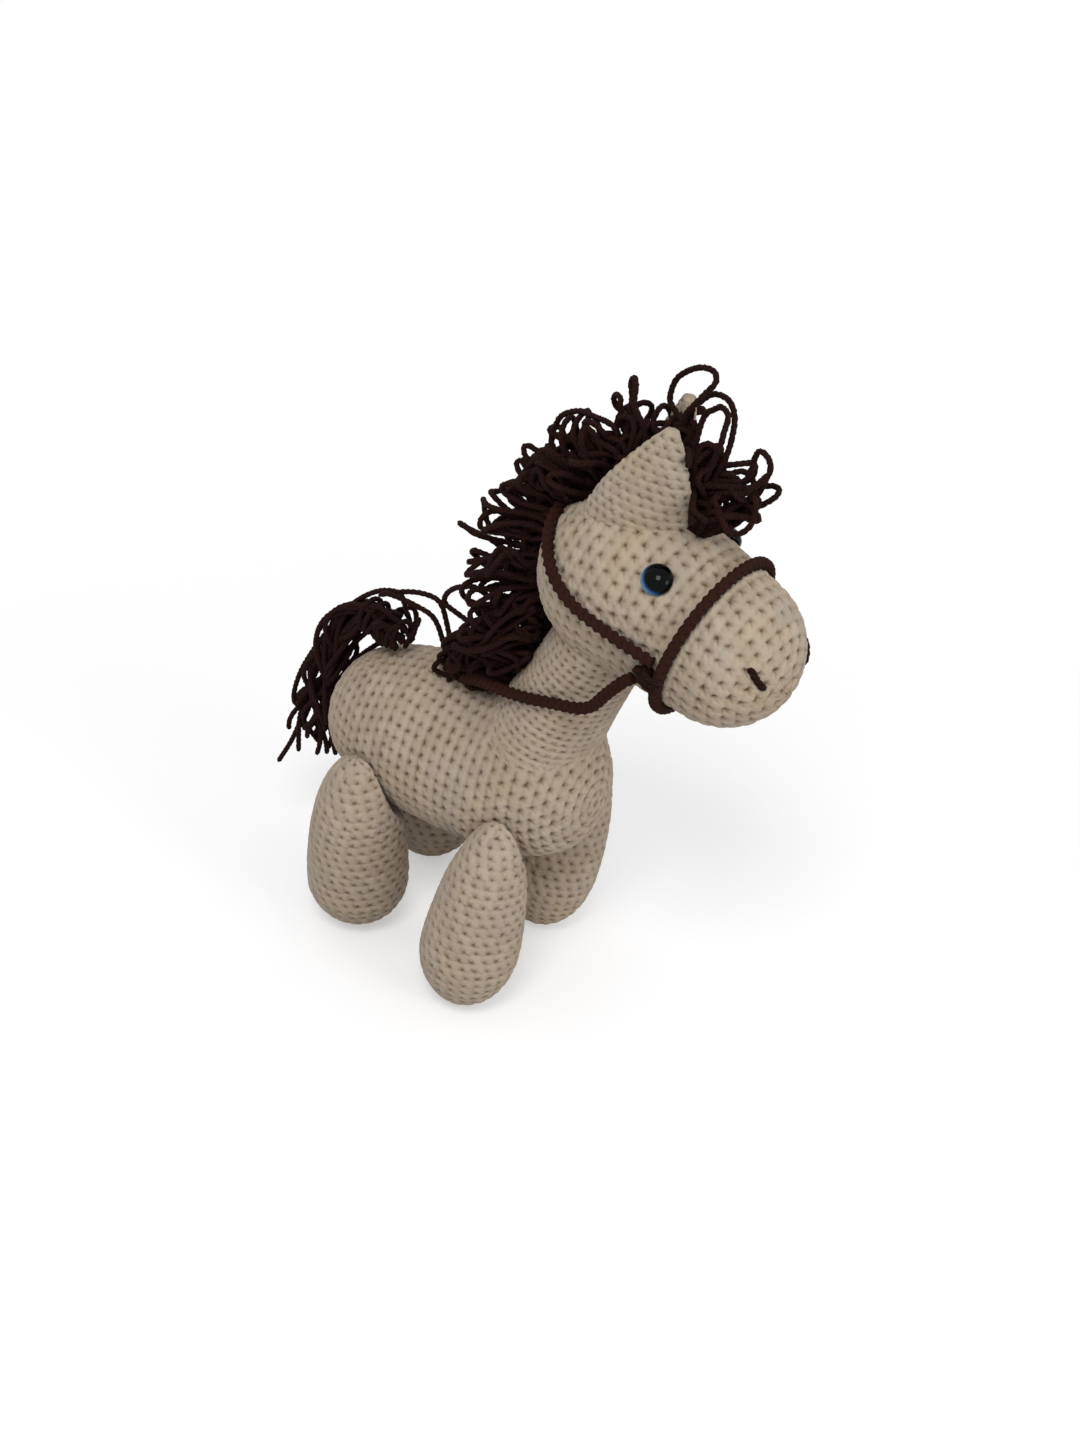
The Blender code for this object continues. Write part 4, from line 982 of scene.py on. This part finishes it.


# Each ear's grid, its stitches along its outward direction, and the piece made of it.
columns, rows, whole = 150, 90, EAR_HEIGHT + EAR_SINK
angle = 2 * np.pi * np.arange(columns) / columns
low, high = np.zeros(columns), np.full(columns, 0.9)
middles = np.minimum((np.arange(20) + 0.5) * EAR_STITCH[1] / whole, 1)
counts = np.maximum(np.round(2.2 * ear_width(middles) / EAR_STITCH[0]), 4)
for name, (side, lean_back) in EARS.items():
    foot = crossing(low, high, lambda s: outside_head(ear_place(side, lean_back, s, angle)))
    share = foot + np.linspace(-0.02, 1, rows)[:, None] * (1 - foot)
    base = ear_place(side, lean_back, share, np.broadcast_to(angle, share.shape))
    turn = np.cumsum(np.linalg.norm(np.roll(base, -1, 1) - base, axis=-1), axis=1)
    relief, tone = crochet(
        turn / turn[:, -1:], share * whole / EAR_STITCH[1], counts, 0.2, (0.22, 0.30, -0.5)
    )
    places = base + (EAR_RELIEF * (relief - REST_HEIGHT))[..., None] * outward(base)
    stuffed(name, "horse", ring_mesh(places, {"depth": relief, "tone": tone}), EAR_FILL, name)

# %% [markdown]
# ## Halter
# The halter is the same plaited cord as the rein: a ring round the muzzle, and a strap
# from the ring up the cheeks and round behind the ears. Both lie on the head, so their
# lines are places on its surface, lifted by half the cord. Where they meet the rein, the
# ends are tied in a knot, and a hitch of the same yarn is wound round strap and ring. A
# trefoil is the path of a plain overhand knot.

# %% Halter
CHAIN_LIFT = CHAIN / 2 + 0.3 * MM
NOSEBAND_ALONG, NOSEBAND_HALF, STRAP_RISE, KNOT_RADIUS = (v * MM for v in (39.8, 3.8, 15.5, 4.4))
KNOT_BEHIND, KNOT_GAP, HITCH_RADIUS, HITCH_BACK = (v * MM for v in (6.2, 0.3, 2.6, 2.6))


def strap_place(turn):
    """The strap: its share is the cosine of the turn, its rise the share's cube."""
    back = -math.sqrt((CRANIUM_RADIUS + CHAIN_LIFT) ** 2 - STRAP_RISE**2)
    front = NOSEBAND_ALONG - NOSEBAND_HALF - KNOT_GAP
    share = np.cos(turn)
    along, rise = front + (back - front) * share, STRAP_RISE * share**3
    across = np.sqrt(np.maximum(head_radius(along, CHAIN_LIFT) ** 2 - rise**2, 0)) * np.sign(turn)
    ahead, up = along[:, None] * HEAD_AHEAD, rise[:, None] * HEAD_UP
    return CRANIUM + ahead + up + across[:, None] * HEAD_SIDE


def head_normal(p):
    """The head's outward direction: from its middle behind it, from its axis before it."""
    ahead = np.maximum((p - CRANIUM) @ HEAD_AHEAD, 0)
    return unit(p - CRANIUM - ahead[..., None] * HEAD_AHEAD)


round_it = np.linspace(-np.pi / 2, np.pi * 1.5, 400, endpoint=False)
noseband_line = head_surface(NOSEBAND_ALONG, round_it, CHAIN_LIFT)
noseband = plait(noseband_line, CHAIN * FUZZ, head_normal(noseband_line), closed=True)
brown("noseband_cord", "horse", [noseband], "noseband")
strap_line = evenly(strap_place(np.linspace(-np.pi / 2, np.pi / 2, 801)), 0.5 * MM)
strap = plait(strap_line, CHAIN * FUZZ, head_normal(strap_line))
brown("headstall_cord", "horse", [strap], "headstall")

# %% Knots
knot_along = NOSEBAND_ALONG - KNOT_BEHIND
knot_angle = -(CHAIN / 2 + KNOT_GAP + KNOT_RADIUS) / float(head_radius(knot_along))
for side, angle in (("right", knot_angle), ("left", math.pi - knot_angle)):
    middle = head_surface(knot_along, angle, KNOT_RADIUS * 0.5)
    out = head_normal(middle)
    across, over = frames(np.array([middle, middle + out * MM]), HEAD_AHEAD)
    t = np.linspace(0, 2 * np.pi, 90)[:, None]
    path = across[0] * (np.sin(t) + 2 * np.sin(2 * t)) + over[0] * (np.cos(t) - 2 * np.cos(2 * t))
    path = middle + (path * 0.82 - out * np.sin(3 * t) * 1.2) * MM
    knot = yarn(evenly(path, 0.5 * MM), 1.9 * MM, 12)
    hitch_angle = angle + np.linspace(-0.09, 0.09, 120) * (1 if side == "right" else -1)
    core = head_surface(NOSEBAND_ALONG - HITCH_BACK, hitch_angle, CHAIN_LIFT)
    wind = np.linspace(0, 5 * np.pi, 120)[:, None]
    winding = 1.35 * np.cos(wind) * HEAD_AHEAD + np.sin(wind) * head_normal(core)
    hitch = core + HITCH_RADIUS * winding
    hitch = yarn(evenly(hitch, 0.6 * MM), 1.3 * MM, 10)
    brown(f"bridle_knot_{side}_yarn", "horse", [knot, hitch], f"bridle_knot_{side}")

# %% [markdown]
# ## Nostrils
# Each nostril is one stitch of the brown yarn on the muzzle. It comes out of the skin,
# lies on it for a few millimetres and goes back in, so both ends dip below the surface.

# %% Nostrils
NOSTRIL_ALONG, NOSTRIL_LENGTH, NOSTRIL_YARN = 64.5 * MM, 7.0 * MM, 1.5 * MM
NOSTRIL_FROM, NOSTRIL_TURN, NOSTRIL_LOWER = (math.radians(v) for v in (36.0, 13.0, 12.0))
share = np.linspace(0, 1, 24)
for side in ("right", "left"):
    angle = NOSTRIL_FROM - NOSTRIL_TURN * share - (NOSTRIL_LOWER if side == "left" else 0)
    angle = angle if side == "right" else math.pi - angle
    dip = NOSTRIL_YARN * (0.25 - 1.6 * np.abs(2 * share - 1) ** 4)
    line = head_surface(NOSTRIL_ALONG + NOSTRIL_LENGTH * share, angle)
    line = line + dip[:, None] * unit(line - CRANIUM - MUZZLE_REACH * HEAD_AHEAD)
    brown(f"nostril_{side}_stitch", "horse", [yarn(line, NOSTRIL_YARN, 12)], f"nostril_{side}")

# %% [markdown]
# ## Eyes
# The eyes are plastic safety eyes: a glossy black dome with a blue rim that shows on one
# side, pushed through the skin and held by a washer inside. The dome is a quarter of an
# ellipse turned round. How far each place is from the middle of the pupil, which sits
# a little off the dome's own middle, is kept on the mesh, and the colour follows it.

# %% Eyes
EYE_RADIUS, EYE_HEIGHT, EYE_ALONG, EYE_GAP = (v * MM for v in (6.0, 4.2, 20.3, 0.3))
EYE_ANGLE, PUPIL_SHIFT = math.radians(45.7), 1.8 * MM
RIM_FROM, RIM_BY = 0.86, 1.22

# Glossy moulded ABS: nearly black, with small sharp highlights.
eye_plastic, tree = new_material("glossy_black_abs")
streak = spread(tree, noise(tree, 1.5, Detail=2.0), 0.06)
streaked = calc(tree, "ADD", streak, mark(tree, "from_pupil"))
rim = add(tree, "MapRange", _0=streaked, _1=RIM_FROM, _2=RIM_BY)
blue = ramp(tree, rim, (0.0, "010303"), (0.22, "050E16"), (0.5, "1B4A75"), (1.0, "6C97B4"))
shader = add(tree, "BsdfPrincipled", Base_Color=blue, Roughness=0.05, Specular_IOR_Level=0.1)
add(tree, "OutputMaterial", Surface=shader)

for side, angle in (("right", EYE_ANGLE), ("left", math.pi - EYE_ANGLE)):
    middle = head_surface(EYE_ALONG, angle, EYE_GAP)
    out = head_normal(middle)
    back = unit(-HEAD_AHEAD + out * (HEAD_AHEAD @ out))
    down = unit(np.cross(out, back) * np.sign(np.cross(out, back) @ -HEAD_UP))
    lift = np.linspace(0, np.pi / 2, 16)[:-1, None, None]
    around = (2 * np.pi * np.arange(48) / 48)[None, :, None]
    flat = EYE_RADIUS * np.cos(lift) * (np.cos(around) * back + np.sin(around) * down)
    dome = middle + flat + EYE_HEIGHT * np.sin(lift) * out
    pupil = -PUPIL_SHIFT * unit(back + down)
    from_pupil = np.linalg.norm(flat - pupil, axis=-1) / EYE_RADIUS
    skin = ring_mesh(dome, {"from_pupil": from_pupil}, tips=(middle, middle + EYE_HEIGHT * out))
    worn_by(piece(f"eye_{side}_dome", [skin], eye_plastic), "horse", "eye_plastic", f"eye_{side}")

# %% [markdown]
# ## Mane
# The mane is one long yarn drawn through the skin again and again, each time leaving a
# loop, from the forehead over the crown and down to the withers. A loop rises from its
# foot and comes back to it. Its outline is a circle's height with a sideways swing that
# grows as it rises, and it droops by the square of its height. Loops differ in height,
# width and turn by a seeded draw, and a few that stand out are led through points.

# %% Crest
MANE_YARN = 1.25 * MM


def behind_head(degrees):
    """A place on the back of the skull at an angle above level."""
    turn = math.radians(degrees)
    return CRANIUM + CRANIUM_RADIUS * (Y * math.cos(turn) + Z * math.sin(turn))


def behind_neck(share):
    """A place on the back of the neck at a share of its length."""
    height = NECK_LENGTH * share
    return NECK_ROOT + height * NECK_AXIS + float(neck_radius(height)) * NECK_DEPTH * NECK_BACK


WITHERS_Y = float(behind_neck(0.3)[1]) + 10 * MM
crest = smooth_line(
    [head_surface(along * MM, math.pi / 2) * (0, 1, 1) for along in (19.0, 9.0, 0.0, -9.0, -18.0)]
    + [behind_head(angle) for angle in (42.0, 20.0, 0.0)]
    + [behind_neck(share) for share in (0.66, 0.5, 0.38)]
    + [
        np.array((0, y, BODY_MIDDLE[2] + float(body_radius(y))))
        for y in (WITHERS_Y, WITHERS_Y + 10 * MM, WITHERS_Y + 18 * MM)
    ],
    1.0 * MM,
)
crest_slope = slopes(crest)
crest_up = np.column_stack([crest_slope[:, 0] * 0, -crest_slope[:, 2], crest_slope[:, 1]])
print("crest:", round(float(travel(crest)[-1]) / MM), "mm")

# %% Loops
MANE_PARTS = {
    "forelock": (0.0, 0.15), "crown": (0.15, 0.36), "nape": (0.36, 0.70), "withers": (0.70, 1.0),
}
t = np.linspace(0, 1, 60)


def off_ears(p):
    """Places behind an ear's sheet or in it, brought out to the mane's side of the sheet."""
    for side, lean_back in reversed(EARS.values()):
        foot, along, lean, face = ear_frame(side, lean_back)
        q = p - foot
        across, up = q @ along, q @ lean / (EAR_HEIGHT + EAR_SINK)
        share = np.clip(up, 0, 1)
        least = (EAR_TIP + (EAR_THICK - EAR_TIP) * (1 - share)) / 2 + 1.2 * MM
        least = least + EAR_CUP * (1 - share) * (2 * across / EAR_WIDTH) ** 2
        covers = (np.abs(across) < ear_width(share) / 2 + 1 * MM) & (up > 0) & (up < 1.04)
        p = p + np.where(covers, np.maximum(least - q @ face, 0), 0)[:, None] * face
    return p


def loop(draw, at, height, width, rows, splay, back):
    """One loop at a share along the crest.

    Out is half the height times one minus the cosine of a full turn, and the swing is
    half the width times the sine, less near the foot. The way out leans sideways by the
    foot's distance from the crest. The forelock falls to the left, clear of the right ear.
    """
    place = at * (len(crest) - 1)
    foot, slope, up = (
        np.array([np.interp(place, np.arange(len(crest)), row[:, i]) for i in range(3)])
        for row in (crest, crest_slope, crest_up)
    )
    off = draw.uniform(-rows, rows) + np.interp(at, (0.0, 0.1, 0.2), (2.0, 2.0, 0.0))
    lean = math.radians(off * splay + draw.normal(0, 17))
    out = unit(up * math.cos(lean) + X * math.sin(lean) + slope * (back + draw.normal(0, 0.33)))
    spin = draw.uniform(0, math.pi)
    swing = unit(slope * math.cos(spin) + np.cross(out, slope) * math.sin(spin))
    swing = unit(swing - out * (swing @ out))
    third = np.cross(out, swing)
    rise = height * (1 - np.cos(2 * np.pi * t)) / 2
    share = rise / height
    wave = width / 2 * np.sin(2 * np.pi * t) * (0.35 + 0.65 * share)
    curl = width * 0.42 * np.sin(2 * np.pi * (t * draw.uniform(1.0, 2.8) + draw.uniform())) * share
    droop = height * draw.uniform(0.0, 0.3) * share**2
    foot = foot + X * off * MM - out * 1.5 * MM + swing * MM
    line = foot + rise[:, None] * out + wave[:, None] * swing
    line = line + curl[:, None] * third - droop[:, None] * Z
    return kept_out(off_ears(line), MANE_YARN * np.clip(8 * np.minimum(t, 1 - t), -1, 1))


# Heights in millimetres along the crest: forehead, crown, nape, neck, withers.
HEIGHT_AT = (0.0, 0.05, 0.10, 0.18, 0.33, 0.45, 0.60, 0.75, 0.90, 1.0)
HEIGHT_MM = (26.0, 43.0, 37.0, 32.0, 30.0, 27.0, 30.0, 36.0, 27.0, 15.0)
# Count, from and to along the crest, least and most share of the height, width, rows.
LOOPS = (
    (185, 0.0, 1.0, 0.75, 1.08, 9.5, 8.0),
    (130, 0.0, 1.0, 0.3, 0.7, 9.0, 9.5),
    (46, 0.03, 0.14, 0.5, 0.95, 11.0, 6.0),
)
draw = np.random.default_rng(11)
mane = {part: [] for part in MANE_PARTS}
for count, start, end, least, most, width, rows in LOOPS:
    for number in range(count):
        at = start + (end - start) * ((number + draw.uniform()) / count) ** 1.25
        height = np.interp(at, HEIGHT_AT, HEIGHT_MM) * draw.uniform(least, most) * MM
        width_here = width * draw.uniform(0.6, 1.5) * MM
        narrow = np.interp(
            at, (0.0, 0.26, 0.36, 0.5, 0.7, 0.8, 1.0), (0.45, 0.5, 1.0, 1.8, 1.8, 0.9, 0.4)
        )
        back = np.interp(at, (0.0, 0.04, 0.12, 0.25, 0.8, 0.95), (-0.2, 0.15, 0.2, 0.0, 0.0, 0.35))
        line = loop(draw, at, height, width_here, rows * narrow, 2.2, back)
        part = next(name for name, (low, high) in MANE_PARTS.items() if low <= at < high)
        mane[part].append(line)

# %% Loops that stand out
LED_LOOPS = {
    "forelock": (
        (2, (
            (-52, 263), (-47, 266), (-44, 269), (-45, 276), (-49, 281), (-55, 285), (-61, 286),
            (-63, 283), (-60, 278), (-56, 272), (-53, 267), (-53, 262),
        )),
        (3, (
            (-54, 255), (-55, 269), (-57, 273), (-61, 276), (-67, 276), (-71, 272), (-72, 265),
            (-71, 257), (-68, 249), (-65, 238),
        )),
        (-2, (
            (-59, 252), (-60, 268), (-64, 273), (-67, 275), (-71, 274), (-71, 268), (-70, 262),
            (-65, 246),
        )),
        (0, (
            (-60, 244), (-71, 247), (-78, 249), (-80, 254), (-81, 260), (-83, 263), (-87, 262),
            (-89, 259), (-88, 255), (-84, 251), (-81, 247), (-75, 245), (-62, 240),
        )),
        (-3, (
            (-60, 243), (-74, 247), (-80, 247), (-84, 246), (-86, 243), (-86, 237), (-83, 233),
            (-79, 233), (-76, 236), (-72, 239), (-60, 238),
        )),
    ),
    "crown": (
        (-2, (
            (-32, 247), (-31, 259), (-31, 266), (-30, 272), (-32, 275), (-34, 273), (-35, 267),
            (-38, 263), (-40, 258), (-41, 247),
        )),
        (4, (
            (-30, 245), (-26, 256), (-22, 258), (-21, 261), (-23, 264), (-26, 264), (-27, 260),
            (-31, 255), (-33, 245),
        )),
        (-2, (
            (-12, 230), (-1, 238), (-1, 245), (-4, 251), (-12, 256), (-19, 257), (-26, 257),
            (-29, 254), (-30, 242),
        )),
    ),
    "nape": (
        (-6, (
            (-14, 230), (-1, 234), (5, 229), (9, 222), (8, 217), (5, 214), (-2, 213), (-12, 214),
        )),
        (-4, (
            (5, 188), (21, 191), (28, 191), (33, 192), (34, 194), (30, 195), (25, 194),
            (18, 194), (5, 195),
        )),
        (-6, ((5, 179), (21, 180), (25, 182), (26, 185), (23, 188), (19, 188), (6, 187))),
    ),
    "withers": (
        (-5, (
            (14, 150), (32, 153), (39, 155), (38, 160), (33, 166), (27, 170), (21, 171),
            (8, 165),
        )),
        (0, (
            (34, 128), (40, 143), (45, 151), (53, 152), (62, 150), (71, 146), (66, 149),
            (52, 149), (43, 145), (37, 128),
        )),
    ),
}
for part, led in LED_LOOPS.items():
    for x, places in led:
        points = np.array([(x, *place) for place in places]) * MM
        points[:, 0] += 3 * MM * np.sin(np.linspace(0, 2 * np.pi, len(points)))
        mane[part].append(kept_out(off_ears(smooth_line(points, 0.9 * MM)), 0.5 * MM))
for part, lines in mane.items():
    tufts = [yarn(evenly(line, 0.95 * MM), MANE_YARN) for line in lines]
    brown(f"mane_{part}_loops", "horse", tufts, f"mane_{part}")
    print(part, len(lines), "loops")

# %% [markdown]
# ## Tail
# The tail is a bunch of the same yarn tied at its root. It stands off the rump, arches
# over and hangs, and its strands cross each other like a loose net. Each strand follows
# the bunch's middle line with its own slow swings, wider towards the end, and is cut at
# its own length. A few are led through points, and one loop reaches forward to the mane.

# %% Tail
TAIL_ROOT = np.array((0.0, 64.65, 127.04)) * MM
TAIL_ARCH = (
    (0.0, 0.0), (8.0, 6.5), (18.0, 5.0), (26.5, -6.0), (32.0, -26.0), (35.5, -50.0), (39.0, -80.0),
)
tail_middle = smooth_line([TAIL_ROOT + np.array((0, y, z)) * MM for y, z in TAIL_ARCH], 0.95 * MM)
tail_side, tail_over = frames(tail_middle, X)
tail_draw = np.random.default_rng(5)
tail_share = travel(tail_middle) / travel(tail_middle)[-1]


def tail_strand(draw, length, spread):
    """A strand: the middle line plus two slow swings that open with the root of the share."""
    keep = max(int(len(tail_middle) * length), 8)
    share, line = tail_share[:keep], tail_middle[:keep]
    open_by = spread * MM * np.sqrt(0.15 + share)
    for square in (tail_side, tail_over):
        turns = share * draw.uniform(0.9, 1.9) + draw.uniform()
        line = line + (open_by * np.sin(2 * np.pi * turns))[:, None] * square[:keep]
    return line


strands = [
    tail_strand(tail_draw, tail_draw.uniform(0.55, 1.0), tail_draw.uniform(4.5, 10.0))
    for number in range(25)
]
LED_STRANDS = (
    (-3, ((60, 138), (74, 140), (87, 119), (94, 109), (96, 96), (94, 86), (93, 74), (89, 59))),
    (4, ((60, 130), (70, 132), (86, 115), (100, 92), (113, 79), (118, 70))),
    (-2, ((61, 138), (77, 136), (90, 119), (101, 98), (107, 79), (110, 68), (110, 51))),
    (2, ((62, 138), (83, 135), (96, 115), (105, 97), (109, 76), (116, 54), (124, 37))),
    (6, ((63, 126), (73, 120), (89, 102), (97, 85), (98, 72), (106, 56))),
    (0, (
        (58, 140), (62, 149), (70, 148), (78, 143), (86, 135), (95, 122), (104, 107), (112, 90),
        (115, 76), (111, 72),
    )),
)
for x, places in LED_STRANDS:
    strands.append(smooth_line(np.array([(x, *place) for place in places]) * MM, 0.95 * MM))

# The root: loops close to the skin, and three turns of yarn that tie the bunch.
for _ in range(12):
    t_root = np.linspace(0, 1, 26)
    turn = tail_draw.uniform(0, 2 * np.pi)
    up = unit(Z + Y * tail_draw.uniform(-0.4, 0.8) + X * 0.5 * math.cos(turn))
    flat = unit(np.cross(up, np.array((math.cos(turn), math.sin(turn), 0.3))))
    rise = tail_draw.uniform(9, 14) * MM * np.sin(np.pi * t_root)
    foot = TAIL_ROOT + np.array((3 * math.cos(turn), -2 + 4 * math.sin(turn), 0)) * MM
    strands.append(foot + rise[:, None] * up + (5 * MM * np.cos(np.pi * t_root))[:, None] * flat)
strands = [kept_out(line, 0.8 * MM * np.clip(np.arange(len(line)) / 8, 0, 1)) for line in strands]
strands = [yarn(evenly(line, 0.95 * MM), MANE_YARN) for line in strands]
brown("tail_strands", "tail", strands, "tail_yarn")

# The tie winds round the bunch a little way from the root.
TIE_RADIUS, TIE_TURNS = 7.0 * MM, 3
wind = np.linspace(0, 2 * np.pi * TIE_TURNS, 160)
at = np.interp(np.linspace(0.06, 0.14, 160), tail_share, np.arange(len(tail_share)))
core = np.column_stack([
    np.interp(at, np.arange(len(tail_middle)), tail_middle[:, i]) for i in range(3)
])
side, over = frames(core, X)
tie_line = core + TIE_RADIUS * (np.cos(wind)[:, None] * side + np.sin(wind)[:, None] * over)
brown("tail_tie_winding", "tail", [yarn(evenly(tie_line, 0.9 * MM), MANE_YARN)], "tail_tie")

# %% [markdown]
# ## Small parts that keep their solid
# The washers behind the eyes and the threads that the legs swing on have the right shape
# already, so they keep it and get a finish: white nylon, and a waxed sewing thread whose
# twist is painted as fine slanting bands of shade and shine.

# %% Washers and threads
# Moulded nylon: milky, smooth, with faint flow marks.
nylon, tree = new_material("white_moulded_nylon")
flow = noise(tree, 4.0, Detail=3.0)
tint = ramp(tree, flow, (0.3, "C9C8C2"), (0.7, "DAD9D4"))
principled(tree, flow, 0.2, 0.2 * MM, Base_Color=tint, Roughness=0.38, Specular_IOR_Level=0.5)

# Waxed polyester thread: cream. Its twist is painted as fine slanting bands: painted
# shade between the turns and a painted shine on each turn.
thread, tree = new_material("waxed_polyester_thread")
twist = add(
    tree, "TexWave", {"bands_direction": "DIAGONAL"}, Scale=1000 / 9.0, Distortion=1.0,
    Vector=add(tree, "TexCoord").outputs["Object"],
).outputs["Fac"]
# Painted shade and shine: the bands are darker between the turns of the twist and lighter on each
# turn.
tint = ramp(tree, twist, (0.0, "7E6F5B"), (0.6, "B0A08A"), (1.0, "BDAD98"))
principled(tree, twist, 0.6, 0.2 * MM, Base_Color=tint, Roughness=0.55, Specular_IOR_Level=0.4)

KEPT = {
    "eye_right_washer": nylon, "eye_left_washer": nylon,
    "front_leg_thread": thread, "hind_leg_thread": thread,
}
for name, finish in KEPT.items():
    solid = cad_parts[name]
    for held in solid.material_slots:
        held.material = finish
print("kept solids:", ", ".join(KEPT))
